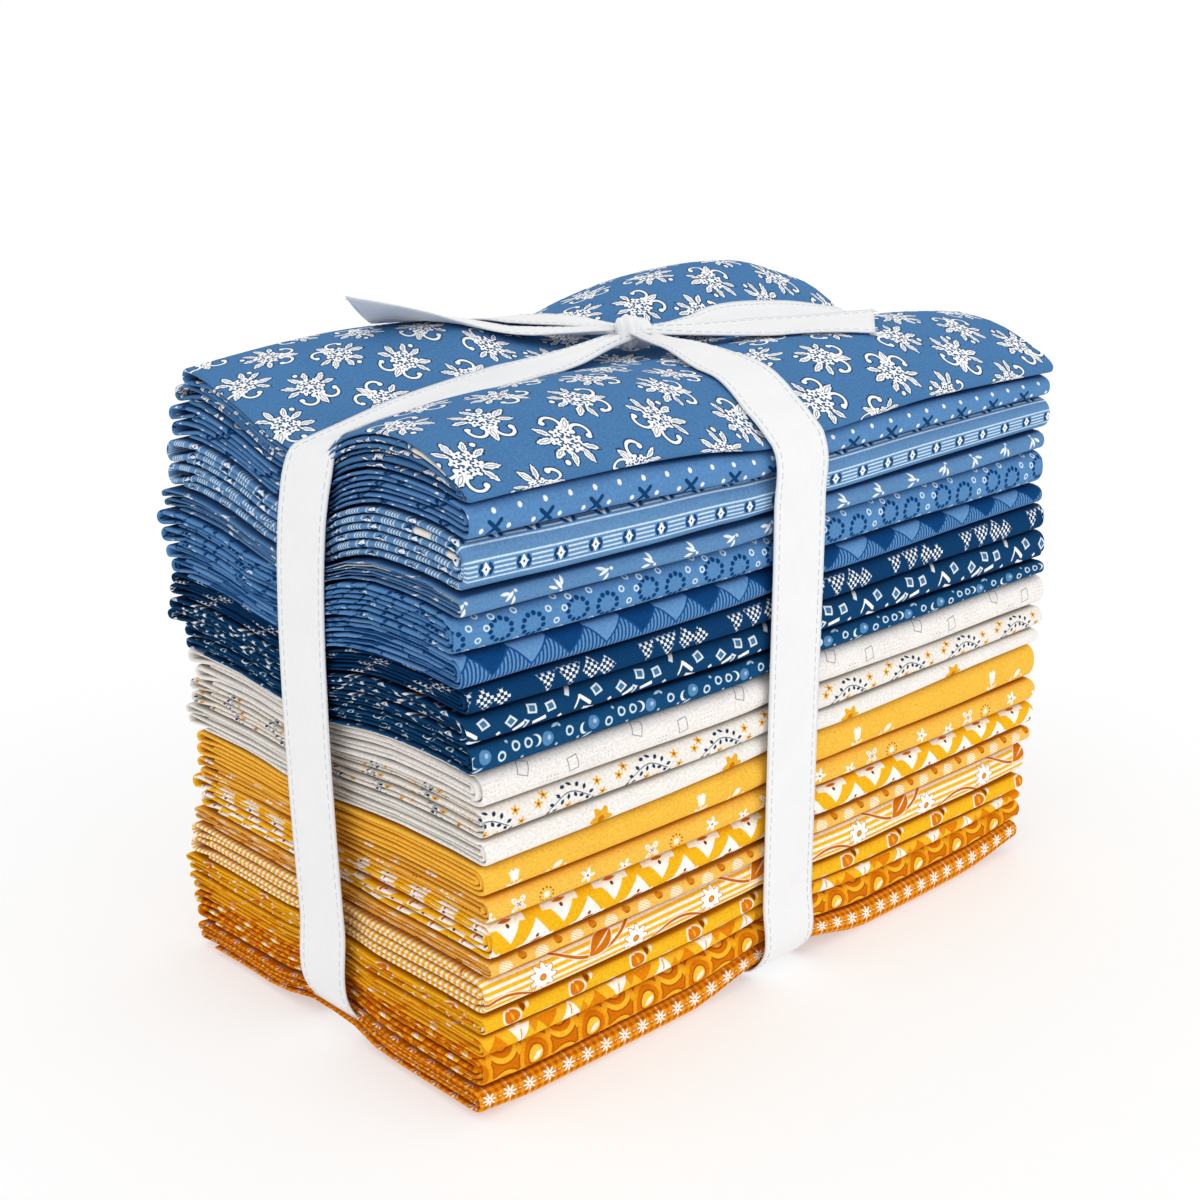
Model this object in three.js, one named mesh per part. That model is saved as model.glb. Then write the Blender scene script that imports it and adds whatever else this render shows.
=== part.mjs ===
// One-yard fabric bundle: twenty-one folded yards of quilting cotton in a stack, tied
// both ways round with one ribbon. Millimetres, +Z up. +X runs along the stack, the
// folded fronts of the yards face -Y, and the stack rests on z = 0.
//
// Each yard was folded twice across its width into a strip of four plies, and the strip
// then lies back and forth in six passes: first in thirds, then in half. One section of
// that strip is swept along X, so a yard is a single closed sheet with its real turns.

import * as THREE from 'three';

// ---- driving dimensions ----

const FOLD_LENGTH = 280; // a quarter of the cloth's width, along X
const FOLD_DEPTH = 160; // a sixth of a yard and the turns of its folds, along Y
const FRONT_BULGE = 0.3; // how far the front turns stand out past the depth
const PASS_GAP = 0.35; // air between two passes of one strip
const YARD_GAP = 0.3; // air between two yards
const FREE_END_SETBACK = 2.5; // the strip's two ends lie inside the back turns

const RIBBON_WIDTH = 25;
const RIBBON_THICKNESS = 1;
const RIBBON_GAP = 0.3; // air between the ribbon and what it lies on
const RIBBON_LIFT = 1.1; // the taut runs on top clear the uneven cloth by this much

// The yards from top to bottom. Sizes in millimetres: thickness of the folded yard at
// its left and right ends, and how far it reaches past the fold's length to the left and
// right and past its depth at the back.
const YARDS = [
  { name: 'yard_01_sprig', colour: 0x4f7db3, left: 12.5, right: 12.5, out: [-0.2, 1.4, 0.5] },
  { name: 'yard_02_cross', colour: 0x4c78ad, left: 11.9, right: 6.9, out: [0, 1.8, -0.4] },
  { name: 'yard_03_stave', colour: 0x5c88bc, left: 13.7, right: 11.6, out: [1.5, 1.1, 2.2] },
  { name: 'yard_04_chip', colour: 0x6689bb, left: 7.4, right: 8.3, out: [3.6, -0.5, 2.3] },
  { name: 'yard_05_dot_ring', colour: 0x4d7fb8, left: 10.7, right: 12.8, out: [5.8, -1, 1.6] },
  { name: 'yard_06_plaid', colour: 0x3f6ea8, left: 10.3, right: 7.3, out: [4.8, -0.6, 0.5] },
  { name: 'yard_07_check', colour: 0x1b4b7d, left: 8.7, right: 11, out: [2.9, 1, 2.4] },
  { name: 'yard_08_tick', colour: 0x184474, left: 8.5, right: 11.2, out: [3.6, 2.9, 3.1] },
  { name: 'yard_09_bubble', colour: 0x1f4f84, left: 9.9, right: 6.3, out: [1.9, 3.8, -1.8] },
  { name: 'yard_10_square', colour: 0xf3ebe0, left: 11.8, right: 12.1, out: [-1.3, 4.8, 0.6] },
  { name: 'yard_11_leaf', colour: 0xf1e9dd, left: 9.1, right: 9.3, out: [-2.6, 5.2, 4.6] },
  { name: 'yard_12_bloom', colour: 0xf6efe4, left: 8.9, right: 6.5, out: [-2.2, 3, 6.9] },
  { name: 'yard_13_tulip', colour: 0xf6bd58, left: 10.4, right: 13.4, out: [-1.7, 1.3, 2.1] },
  { name: 'yard_14_clover', colour: 0xf4b64c, left: 8.8, right: 10.2, out: [-2.7, 2.9, 3.6] },
  { name: 'yard_15_triangle', colour: 0xf7bd22, left: 11.7, right: 8.4, out: [-4, 3.1, 8] },
  { name: 'yard_16_acorn', colour: 0xf2b143, left: 6.7, right: 8.4, out: [-3.3, 0.6, 8.8] },
  { name: 'yard_17_vine', colour: 0xf3b93e, left: 11, right: 10.6, out: [-0.7, -1.2, 8] },
  { name: 'yard_18_bud', colour: 0xefaa22, left: 7.2, right: 9.1, out: [1, -2.6, 8.7] },
  { name: 'yard_19_bell', colour: 0xeda21b, left: 7.9, right: 5.8, out: [1.3, -3, 7.2] },
  { name: 'yard_20_scallop', colour: 0xdf8012, left: 9.5, right: 8.3, out: [1, -2.3, 7.2] },
  { name: 'yard_21_gingham', colour: 0xd0791c, left: 11.3, right: 12.8, out: [2.3, -4, 4.4] },
];
const RIBBON_COLOUR = 0xf6f6f5;

// Height of the top of the stack: the ribbon draws two valleys into it and the yards
// swell between them. One row for each y, one column for each x of CROWN_X.
const CROWN_X = [-150, -70, -14, 14, 60, 150];
const CROWN = [
  { y: -80, heights: [205, 208, 198, 199, 208, 203] },
  { y: -34, heights: [209, 213, 209, 210, 215, 208] },
  { y: -6, heights: [195, 207, 209, 210, 211, 206] },
  { y: 20, heights: [196, 207, 209, 210, 212, 208] },
  { y: 42, heights: [212, 219, 213, 215, 228, 216] },
  { y: 84, heights: [214, 216, 211, 212, 224, 214] },
];
const CROWNED_YARDS = 6; // the crown dies out below these

// Underneath, the ribbon draws the lowest yard up, and the stack rests on the four flat
// quarters between the runs.
const FOOT_VALLEY = 5;
const FOOT_VALLEY_X = [-44, -20, 10, 40];
const FOOT_VALLEY_Y = [-36, -20, 13, 38];

// ---- surfaces between the yards ----

const mix = THREE.MathUtils.lerp;
const clamp = THREE.MathUtils.clamp;

// Cell of an ascending list that holds a value, and how far through the cell it lies
function findCell(list, value) {
  const inside = clamp(value, list[0], list[list.length - 1]);
  let cell = 0;
  while (cell < list.length - 2 && inside > list[cell + 1]) cell += 1;
  return [cell, (inside - list[cell]) / (list[cell + 1] - list[cell])];
}

function crownHeight(x, y) {
  const [column, alongX] = findCell(CROWN_X, x);
  const [row, alongY] = findCell(CROWN.map((line) => line.y), y);
  const across = ({ heights }) => mix(heights[column], heights[column + 1], alongX);
  return mix(across(CROWN[row]), across(CROWN[row + 1]), alongY);
}

// 1 in the flat floor of a valley, 0 outside its two banks
function valley([outerLow, innerLow, innerHigh, outerHigh], value) {
  const rising = (value - outerLow) / (innerLow - outerLow);
  const falling = (outerHigh - value) / (outerHigh - innerHigh);
  return clamp(Math.min(rising, falling), 0, 1);
}

function footHeight(x, y) {
  return FOOT_VALLEY * Math.max(valley(FOOT_VALLEY_X, x), valley(FOOT_VALLEY_Y, y));
}

// Height of a level if nothing pressed on the stack; level 0 is the floor, and level n
// is the top of the nth yard counted from the bottom
function evenHeight(level, x) {
  const below = YARDS.slice(YARDS.length - level);
  const left = below.reduce((sum, yard) => sum + yard.left, 0);
  const right = below.reduce((sum, yard) => sum + yard.right, 0);
  return mix(left, right, (x + FOLD_LENGTH / 2) / FOLD_LENGTH);
}

function levelHeight(level, x, y) {
  if (level === 0) return footHeight(x, y);
  const even = evenHeight(level, x);
  const stillLevel = evenHeight(YARDS.length - CROWNED_YARDS, 0);
  const share = (evenHeight(level, 0) - stillLevel) / (evenHeight(YARDS.length, 0) - stillLevel);
  const swell = crownHeight(x, y) - evenHeight(YARDS.length, x);
  return even + Math.max(share, 0) * swell;
}

// ---- the folded yard ----

// The passes in the order in which the strip runs through them, counted from the
// bottom. The first turn is at the front, the next at the back, and so on.
const STRIP_ROUTE = [0, 5, 4, 1, 2, 3];
const PASSES = STRIP_ROUTE.length;

// Section of one folded strip as a closed outline. Each point has its y in millimetres
// and its height as a share of the yard's local thickness.
function foldSection({ thickness, front, back, runStations }) {
  const gap = PASS_GAP / thickness;
  const pass = (1 - (PASSES - 1) * gap) / PASSES;
  const face = (index, low) => index * (pass + gap) + (low ? 0 : pass);
  const backTurn = back - (pass + gap / 2) * thickness;
  const frontTurn = front + thickness / 2;

  // Half turn from one face to the next, with fewer chords the tighter it is
  const halfTurn = (from, to, atFront) => {
    const span = Math.abs(to - from);
    const chords = 1 + [0.2, 0.5, 0.9].filter((limit) => span > limit).length;
    const centre = atFront ? frontTurn : backTurn;
    const reach = (atFront ? -1 : 1) * (span / 2) * thickness;
    return Array.from({ length: chords + 1 }, (_, step) => {
      const angle = (Math.PI * step) / chords;
      return { y: centre + reach * Math.sin(angle), share: mix(from, to, (1 - Math.cos(angle)) / 2) };
    });
  };

  // One side of the strip from its first free end to its last
  const stripSide = (startsLow) => {
    let low = startsLow;
    const side = [{ y: back - FREE_END_SETBACK, share: face(STRIP_ROUTE[0], low) }];
    STRIP_ROUTE.forEach((index, order) => {
      const towardsFront = order % 2 === 0;
      const stations = towardsFront ? [...runStations].reverse() : runStations;
      stations.forEach((y) => side.push({ y, share: face(index, low) }));
      if (order < PASSES - 1) {
        side.push(...halfTurn(face(index, low), face(STRIP_ROUTE[order + 1], !low), towardsFront));
        low = !low;
      }
    });
    side.push({ y: back - FREE_END_SETBACK, share: face(STRIP_ROUTE[PASSES - 1], low) });
    return side;
  };

  return [...stripSide(true), ...stripSide(false).reverse()];
}

// Closed mesh from equal rings of points: walls between the rings and a cap at each end,
// triangulated in the plane that flatten() gives
function sweptSolid(rings, flatten, turnsBack) {
  const count = rings[0].length;
  const positions = rings.flat().flatMap(({ x, y, z }) => [x, y, z]);
  const faces = [];
  for (let ring = 0; ring < rings.length - 1; ring += 1) {
    for (let i = 0; i < count; i += 1) {
      const next = (i + 1) % count;
      const a = ring * count + i;
      const b = ring * count + next;
      const [c, d] = [b + count, a + count];
      // The diagonal keeps one direction in plan, so facing surfaces split alike
      if (turnsBack(rings[ring][i], rings[ring][next])) faces.push([a, b, c], [a, c, d]);
      else faces.push([a, b, d], [b, c, d]);
    }
  }
  const last = (rings.length - 1) * count;
  faces.push(...capFaces(rings[0].map(flatten), -1));
  faces.push(...capFaces(rings[rings.length - 1].map(flatten), 1).map((face) => face.map((v) => v + last)));
  return outwardGeometry(positions, faces);
}

// Triangles that close a flattened ring, wound with the ring's own turn or against it
function capFaces(plane, sign) {
  const ringTurn = Math.sign(THREE.ShapeUtils.area(plane));
  return THREE.ShapeUtils.triangulateShape(plane, []).map(([i, j, k]) => {
    const turn = Math.sign(THREE.ShapeUtils.area([plane[i], plane[j], plane[k]]));
    return turn * ringTurn === sign ? [i, j, k] : [i, k, j];
  });
}

function outwardGeometry(positions, faces) {
  const corner = (index) => new THREE.Vector3().fromArray(positions, 3 * index);
  const volume = faces.reduce((sum, [a, b, c]) => sum + corner(a).dot(corner(b).cross(corner(c))), 0);
  const outward = volume > 0 ? faces : faces.map(([a, b, c]) => [a, c, b]);
  const geometry = new THREE.BufferGeometry();
  geometry.setAttribute('position', new THREE.Float32BufferAttribute(positions, 3));
  geometry.setIndex(outward.flat());
  geometry.computeVertexNormals();
  return geometry;
}

function clothMesh(name, geometry, colour) {
  const material = new THREE.MeshStandardMaterial({ color: colour, roughness: 0.9, metalness: 0 });
  const mesh = new THREE.Mesh(geometry, material);
  mesh.name = name;
  return mesh;
}

// Places along X and Y where a yard's surfaces bend
function bendStations(order) {
  if (order < CROWNED_YARDS) return { xs: CROWN_X.slice(1, -1), ys: CROWN.slice(1, -1).map(({ y }) => y) };
  if (order === YARDS.length - 1) return { xs: FOOT_VALLEY_X, ys: FOOT_VALLEY_Y };
  return { xs: [], ys: [] };
}

function foldedYard(yard, order) {
  const level = YARDS.length - order;
  const [leftReach, rightReach, backReach] = yard.out;
  const { xs, ys } = bendStations(order);
  const section = foldSection({
    thickness: (yard.left + yard.right) / 2,
    front: -FOLD_DEPTH / 2 - FRONT_BULGE,
    back: FOLD_DEPTH / 2 + backReach,
    runStations: ys,
  });
  const stations = [-FOLD_LENGTH / 2 - leftReach, ...xs, FOLD_LENGTH / 2 + rightReach];
  const rings = stations.map((x) => section.map(({ y, share }) => {
    const bottom = levelHeight(level - 1, x, y) + (level > 1 ? YARD_GAP / 2 : 0);
    const top = levelHeight(level, x, y) - YARD_GAP / 2;
    return new THREE.Vector3(x, y, mix(bottom, top, share));
  }));
  const inPlane = ({ y, z }) => new THREE.Vector2(y, z);
  const geometry = sweptSolid(rings, inPlane, (from, to) => to.y > from.y);
  return clothMesh(yard.name, geometry, yard.colour);
}

// ---- the ribbon ----

// Flat strip along stations that each have a centre on its underside, the direction
// across it and its width
function ribbonStrip(stations, closed) {
  const count = stations.length;
  const rings = stations.map(({ centre, across, width }, i) => {
    const before = stations[closed ? (i + count - 1) % count : Math.max(i - 1, 0)].centre;
    const after = stations[closed ? (i + 1) % count : Math.min(i + 1, count - 1)].centre;
    const normal = after.clone().sub(before).cross(across).normalize().multiplyScalar(RIBBON_THICKNESS);
    const half = across.clone().multiplyScalar(width / 2);
    const [near, far] = [centre.clone().sub(half), centre.clone().add(half)];
    return [near, far, far.clone().add(normal), near.clone().add(normal)];
  });
  if (closed) return closedLoop(rings);
  const square = [[0, 0], [1, 0], [1, 1], [0, 1]].map(([x, y]) => new THREE.Vector2(x, y));
  return sweptSolid(rings, (_, corner) => square[corner], () => true);
}

function closedLoop(rings) {
  const positions = rings.flat().flatMap(({ x, y, z }) => [x, y, z]);
  const faces = [];
  rings.forEach((ring, r) => {
    const nextRing = (r + 1) % rings.length;
    ring.forEach((_, i) => {
      const [a, b] = [4 * r + i, 4 * r + ((i + 1) % 4)];
      const [d, c] = [4 * nextRing + i, 4 * nextRing + ((i + 1) % 4)];
      faces.push([a, b, c], [a, c, d]);
    });
  });
  return outwardGeometry(positions, faces);
}

const point = (x, y, z) => new THREE.Vector3(x, y, z);
const ACROSS_X = point(-1, 0, 0);
const ACROSS_Y = point(0, 1, 0);

// Lowest height at which a level strip clears the top of the stack over its own width
function clearOfTop(x, y, across) {
  const shares = Array.from({ length: 13 }, (_, i) => i / 12 - 0.5);
  const spots = shares.map((share) => point(x, y, 0).addScaledVector(across, share * RIBBON_WIDTH));
  return Math.max(...spots.map((spot) => crownHeight(spot.x, spot.y))) + RIBBON_LIFT;
}

// Round the length of the stack. Top run: x, and y of the ribbon's middle.
const LENGTHWAYS_TOP = [
  [-140.4, 5], [-110, 6], [-70, 7], [-14, 9], [14, 10], [24, 10], [60, 8], [100, 8], [142.2, 8],
];
// Right end, underside and left end: x, y of the middle, z of the inner face
const LENGTHWAYS_REST = [
  [142.4, 7, 190], [145.6, 5, 114], [145.6, 4, 93.5], [143.5, 3, 55], [138.2, 0, 21], [138.2, 0, 12.8],
  [136.4, 0, 4.7], [-142.7, -3, 4.7], [-142.7, -2, 12], [-144.2, 2, 124], [-146.2, 3, 151.7],
  [-146.2, 3, 162.4],
];

// Round the depth of the stack. Top run: x of the ribbon's middle, and y.
const CROSSWAYS_TOP = [
  [-3, -76], [1, -55], [5, -34], [9, -6], [10, 10], [9, 26], [6, 42], [0, 62], [-3, 81.2],
];
// Back, underside and front: x of the middle, y, z of the inner face
const CROSSWAYS_REST = [
  [-3, 82.8, 184], [-4, 83.6, 128], [-4, 87.3, 93.5], [-5, 89.2, 54], [-5, 89.1, 30], [-5, 87.6, 12.8],
  [-5, 84.9, 3.4], [-5, -80.8, 3.4], [-3, -80.8, 195],
];

function lengthwaysHeight(x, y) {
  return clearOfTop(x, y, ACROSS_Y);
}

function lengthwaysBand() {
  const top = LENGTHWAYS_TOP.map(([x, y]) => point(x, y, lengthwaysHeight(x, y)));
  const rest = LENGTHWAYS_REST.map(([x, y, z]) => point(x, y, z));
  const stations = [...top, ...rest].map((centre) => ({ centre, across: ACROSS_Y, width: RIBBON_WIDTH }));
  return clothMesh('ribbon_lengthways', ribbonStrip(stations, true), RIBBON_COLOUR);
}

// The crossways run passes over the lengthways one at the knot
const CROSSING_Z = lengthwaysHeight(24, 10) + RIBBON_THICKNESS + RIBBON_GAP;

function crosswaysBand() {
  const top = CROSSWAYS_TOP.map(([x, y]) => {
    const overLengthways = Math.abs(y - 10) < 18;
    const rest = clearOfTop(x, y, ACROSS_X);
    return point(x, y, overLengthways ? Math.max(rest, CROSSING_Z) : rest);
  });
  const rest = CROSSWAYS_REST.map(([x, y, z]) => point(x, y, z));
  const stations = [...top, ...rest].map((centre) => ({ centre, across: ACROSS_X, width: RIBBON_WIDTH }));
  return clothMesh('ribbon_crossways', ribbonStrip(stations, true), RIBBON_COLOUR);
}

// The knot is one small drawn-up lump, flat below where it sits on the crossing
const KNOT = { x: 10, y: 11, length: 19, depth: 17, height: 7 };
const KNOT_Z = CROSSING_Z + RIBBON_THICKNESS + RIBBON_GAP;

function knot() {
  const geometry = new THREE.LatheGeometry(
    [[0, 0], [0.72, 0], [1, 0.42], [0.86, 0.8], [0.45, 1], [0, 1]].map(([r, z]) => new THREE.Vector2(r, z)),
    10,
  );
  geometry.rotateX(Math.PI / 2);
  geometry.scale(KNOT.length / 2, KNOT.depth / 2, KNOT.height);
  geometry.translate(KNOT.x, KNOT.y, KNOT_Z);
  return clothMesh('ribbon_knot', geometry, RIBBON_COLOUR);
}

// The two free ends. Each row: x, y, z of the middle of the underside, width, and how
// far the strip is rolled about its own run, in degrees.
const LEFT_TAIL = [
  [-3, 20, 217, 9, 25],
  [-16, 27, 219, 17, 35],
  [-34, 36, 220.5, 24, 30],
  [-54, 47, 223.5, 25, 20],
  [-70, 56, 227, 21, 25],
  [-80, 62, 231, 9, 30],
];
const RIGHT_TAIL = [
  [20, 5, 215, 9, 0],
  [36, -5, 215.6, 19, 6],
  [54, -19, 217, 25, 10],
  [70, -33, 217, 25, 15],
  [82, -44, 216, 25, 18],
];

function tail(name, rows) {
  const centres = rows.map(([x, y, z]) => point(x, y, z));
  const stations = rows.map(([, , , width, roll], i) => {
    const run = centres[Math.min(i + 1, rows.length - 1)].clone().sub(centres[Math.max(i - 1, 0)]);
    const level = point(0, 0, 1).cross(run).normalize();
    const across = level.applyAxisAngle(run.normalize(), THREE.MathUtils.degToRad(roll));
    return { centre: centres[i], across, width };
  });
  return clothMesh(name, ribbonStrip(stations, false), RIBBON_COLOUR);
}

// ---- the bundle ----

const bundle = new THREE.Group();
bundle.add(...YARDS.map(foldedYard));
bundle.add(lengthwaysBand(), crosswaysBand(), knot());
bundle.add(tail('ribbon_tail_left', LEFT_TAIL), tail('ribbon_tail_right', RIGHT_TAIL));

// The origin lies under the middle of the whole bundle
const middle = new THREE.Box3().setFromObject(bundle).getCenter(point(0, 0, 0));
bundle.position.set(-middle.x, -middle.y, 0);

export default bundle;
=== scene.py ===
import math

import bmesh
import bpy
import numpy as np
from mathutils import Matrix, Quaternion, Vector


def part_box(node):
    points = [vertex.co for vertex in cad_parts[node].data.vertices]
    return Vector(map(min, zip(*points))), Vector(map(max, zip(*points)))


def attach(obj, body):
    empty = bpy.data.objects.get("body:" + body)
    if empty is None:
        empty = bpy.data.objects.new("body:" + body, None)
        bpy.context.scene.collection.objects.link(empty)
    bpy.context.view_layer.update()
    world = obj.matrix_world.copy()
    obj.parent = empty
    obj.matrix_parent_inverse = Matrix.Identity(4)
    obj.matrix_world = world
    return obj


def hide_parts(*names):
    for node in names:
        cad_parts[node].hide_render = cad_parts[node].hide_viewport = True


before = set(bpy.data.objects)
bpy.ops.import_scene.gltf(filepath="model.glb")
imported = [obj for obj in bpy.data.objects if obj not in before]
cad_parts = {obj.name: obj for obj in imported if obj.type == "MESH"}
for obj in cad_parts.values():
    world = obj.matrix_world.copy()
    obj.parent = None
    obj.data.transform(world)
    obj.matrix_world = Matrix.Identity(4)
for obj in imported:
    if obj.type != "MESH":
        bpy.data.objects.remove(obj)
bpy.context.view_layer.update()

# ---- Camera
# A portrait lens a little over the stack's near left corner, so that the left end, the
# folded fronts and the top all show.

MM = 0.001
KNOT_PLACE = (10, 11)  # the knot is tied this far right of and behind the folds' middle, mm
knot_low, knot_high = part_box("ribbon_knot")
STACK_MIDDLE = [(low + high) / 2 / MM - place
                for low, high, place in zip(knot_low, knot_high, KNOT_PLACE)]
VIEW_AIM = (13.56, 32.09, 107.99)  # mm from the middle of the folds
VIEW_AZIMUTH, VIEW_ELEVATION, VIEW_ROLL = map(math.radians, (-43.02, 17.31, -0.60))
VIEW_DISTANCE = 715.56
LENS = 55.85


def in_frame(points):
    """Points in mm from the middle of the folds, as metres in the model's own frame."""
    return (np.asarray(points, float) + (*STACK_MIDDLE, 0)) * MM


def into_scene(name, data):
    obj = bpy.data.objects.new(name, data)
    bpy.context.scene.collection.objects.link(obj)
    return obj


away = Vector((math.sin(VIEW_AZIMUTH) * math.cos(VIEW_ELEVATION),
               -math.cos(VIEW_AZIMUTH) * math.cos(VIEW_ELEVATION),
               math.sin(VIEW_ELEVATION)))
camera = into_scene("camera", bpy.data.cameras.new("camera"))
camera.data.lens = LENS
camera.data.clip_start = 0.01
camera.location = Vector(in_frame(VIEW_AIM)) + away * VIEW_DISTANCE * MM
camera.rotation_mode = "QUATERNION"
camera.rotation_quaternion = away.to_track_quat("Z", "Y") @ Quaternion((0, 0, 1), VIEW_ROLL)
bpy.context.scene.camera = camera

# ---- Studio
# A seamless white table in an even white surround, with two very broad lamps: one high
# over the right front and one above.

# name, direction the light comes from, breadth in degrees, strength
LAMPS = [("lamp_front", (0.35, -1, 0.5), 50, 0.42), ("lamp_above", (-0.5, 0.0, 1), 70, 0.35)]
TABLE_REACH = 60  # m from its middle to each edge


def feed(node, feeds):
    """Gives a node's inputs their values, or the sockets that lead into them."""
    for slot, value in feeds.items():
        value = getattr(value, "socket", value)
        if isinstance(value, bpy.types.NodeSocket):
            node.id_data.links.new(value, node.inputs[slot])
        else:
            node.inputs[slot].default_value = value


def add(tree, kind, feeds={}, **settings):
    node = tree.nodes.new(kind)
    for setting, value in settings.items():
        setattr(node, setting, value)
    feed(node, feeds)
    return node


def new_finish(name):
    material = bpy.data.materials.new(name)
    material.use_nodes = True
    return material, material.node_tree, material.node_tree.nodes["Principled BSDF"]


bpy.context.scene.view_settings.view_transform = "Standard"
world = bpy.data.worlds.new("white_studio")
bpy.context.scene.world = world
world.use_nodes = True
sky = world.node_tree
heading = add(sky, "ShaderNodeTexCoord").outputs["Generated"]
height = add(sky, "ShaderNodeSeparateXYZ", {0: heading}).outputs["Z"]
brightness = add(sky, "ShaderNodeMapRange", {  # brightest just over the table's far edge
    "Value": height, "From Min": 0.03, "From Max": 0.12, "To Min": 1.02, "To Max": 0.86})
feed(sky.nodes["Background"], {"Color": (1, 1, 1, 1), "Strength": brightness.outputs["Result"]})

for name, source, breadth, strength in LAMPS:
    light = into_scene(name, bpy.data.lights.new(name, "SUN"))
    light.data.angle = math.radians(breadth)
    light.data.energy = strength
    light.rotation_mode = "QUATERNION"
    light.rotation_quaternion = Vector(source).to_track_quat("Z", "Y")

corners = [(x * TABLE_REACH, y * TABLE_REACH, 0) for x, y in ((-1, -1), (1, -1), (1, 1), (-1, 1))]
table = bpy.data.meshes.new("table")
table.from_pydata(corners, [], [(0, 1, 2, 3)])
table_top = into_scene("table_top", table)
laminate, _, laminate_shader = new_finish("white_laminate")
feed(laminate_shader, {
    "Base Color": (0.55, 0.55, 0.55, 1), "Roughness": 0.7, "Specular IOR Level": 0.1,
    "Emission Color": (1, 1, 1, 1), "Emission Strength": 0.46})
table.materials.append(laminate)

# ---- The pile's levels
# The yards lie on each other between levels. The tight ribbon draws two crossing valleys
# into the top, and the soft yards swell between them. Both die out down the pile. Below,
# the ribbon lifts the middle of the underside, and the pile rests on its four quarters.

FOLD_LENGTH = 280
PILE_LEFT, PILE_RIGHT = 207.9, 202.8  # height of the unpressed pile at its two ends, mm
# Heights of the pressed top, a row for each place in CROWN_Y and a column for each in CROWN_X
CROWN_X = np.array([-150, -110, -70, -40, -14, 14, 36, 60, 100, 150.0])
CROWN_Y = np.array([-80, -66, -50, -34, -16, -6, 8, 20, 31, 42, 62, 84.0])
CROWN = np.array([
    [204, 207, 208, 205, 198.5, 201.5, 205, 208, 208, 206],
    [207, 210, 211, 208.5, 203.5, 205.5, 208.5, 211, 211, 208.5],
    [208, 212, 213, 211.5, 208, 208.5, 212, 214, 214.5, 210],
    [207.3, 211.6, 213.5, 212.5, 209.5, 210, 213, 215, 216, 211.5],
    [200.2, 207.6, 210, 210.8, 209.6, 210, 211.5, 212.5, 211.5, 207.5],
    [194, 200.4, 205.6, 207.5, 207, 207.5, 209.5, 210.5, 209, 203],
    [194.2, 200.2, 204.8, 207, 206.5, 207, 209.5, 211.5, 209.5, 202.5],
    [199, 203.4, 206.3, 207.5, 207.5, 208, 212, 216, 214, 204.5],
    [203.6, 209.2, 212, 212, 210, 211, 217, 222, 222.5, 210.2],
    [207.2, 214, 218, 218.5, 212.5, 213.5, 221, 226.5, 228, 214.2],
    [212.8, 217.4, 219.5, 219, 215, 214.5, 219.5, 225, 227, 216],
    [210.4, 214.8, 216, 215, 212.3, 209.5, 215.3, 219.8, 221.5, 211.5],
])
SAG_FADE, SWELL_FADE = 1.6, 4  # how fast the broad sag and swell die out downwards
CUSHION_FADE_FRONT, CUSHION_FADE_BACK = 20, 6  # and the cushions between the ribbon's runs
BROAD_X = np.array([-150, -14, 14, 150.0])  # where the broad sag is read off the crown
TOP_FULLNESS = 3  # the top yard is this much fuller at its right end
FRONT_ROLL, FRONT_ROLL_START, FRONT_ROLL_END = 11, 48, 96  # over the top yard's front edge
FOOT_RISE, FOOT_FADE = 5.5, 13  # the middle of the underside, fading out upwards
CORNER_LIFT_LEFT, CORNER_LIFT_RIGHT = 2.5, 6  # and its two ends


def curve_through(places, values, at):
    """Smooth curve through the values, or through a row of its own for each place read."""
    values = np.broadcast_to(values, (len(at), len(places)))
    slopes = np.gradient(values, places, axis=1)
    at = np.clip(at, places[0], places[-1])
    cell = np.clip(np.searchsorted(places, at) - 1, 0, len(places) - 2)
    row = np.arange(len(at))
    width = places[cell + 1] - places[cell]
    t = (at - places[cell]) / width
    start, end = values[row, cell], values[row, cell + 1]
    rise = slopes[row, cell] * (t**3 - 2 * t**2 + t) + slopes[row, cell + 1] * (t**3 - t**2)
    return start + (end - start) * (3 * t**2 - 2 * t**3) + rise * width


def ramp(value, start, end):
    """0 before start, 1 after end, smooth between."""
    t = np.clip((value - start) / (end - start), 0, 1)
    return t * t * (3 - 2 * t)


def crown_height(x, y):
    """Height of the pile's top under the tight ribbon."""
    columns = [curve_through(CROWN_Y, column, y) for column in CROWN.T]
    return curve_through(CROWN_X, np.stack(columns, axis=1), x)


def foot_height(x, y):
    """Underside of the pile: two shallow valleys under the ribbon, and lifted ends."""
    under_ribbon = np.maximum(1 - ramp(np.abs(x + 4), 14, 46), 1 - ramp(np.abs(y), 12, 42))
    ends = CORNER_LIFT_RIGHT * ramp(x, 92, 146) ** 1.5 + CORNER_LIFT_LEFT * ramp(-x, 118, 146)
    return np.maximum(FOOT_RISE * under_ribbon, ends)


def between_ends(left, right, x):
    return left + (right - left) * (x + FOLD_LENGTH / 2) / FOLD_LENGTH


pile = []  # (left, right) thickness of each yard laid so far, from the bottom up


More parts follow.
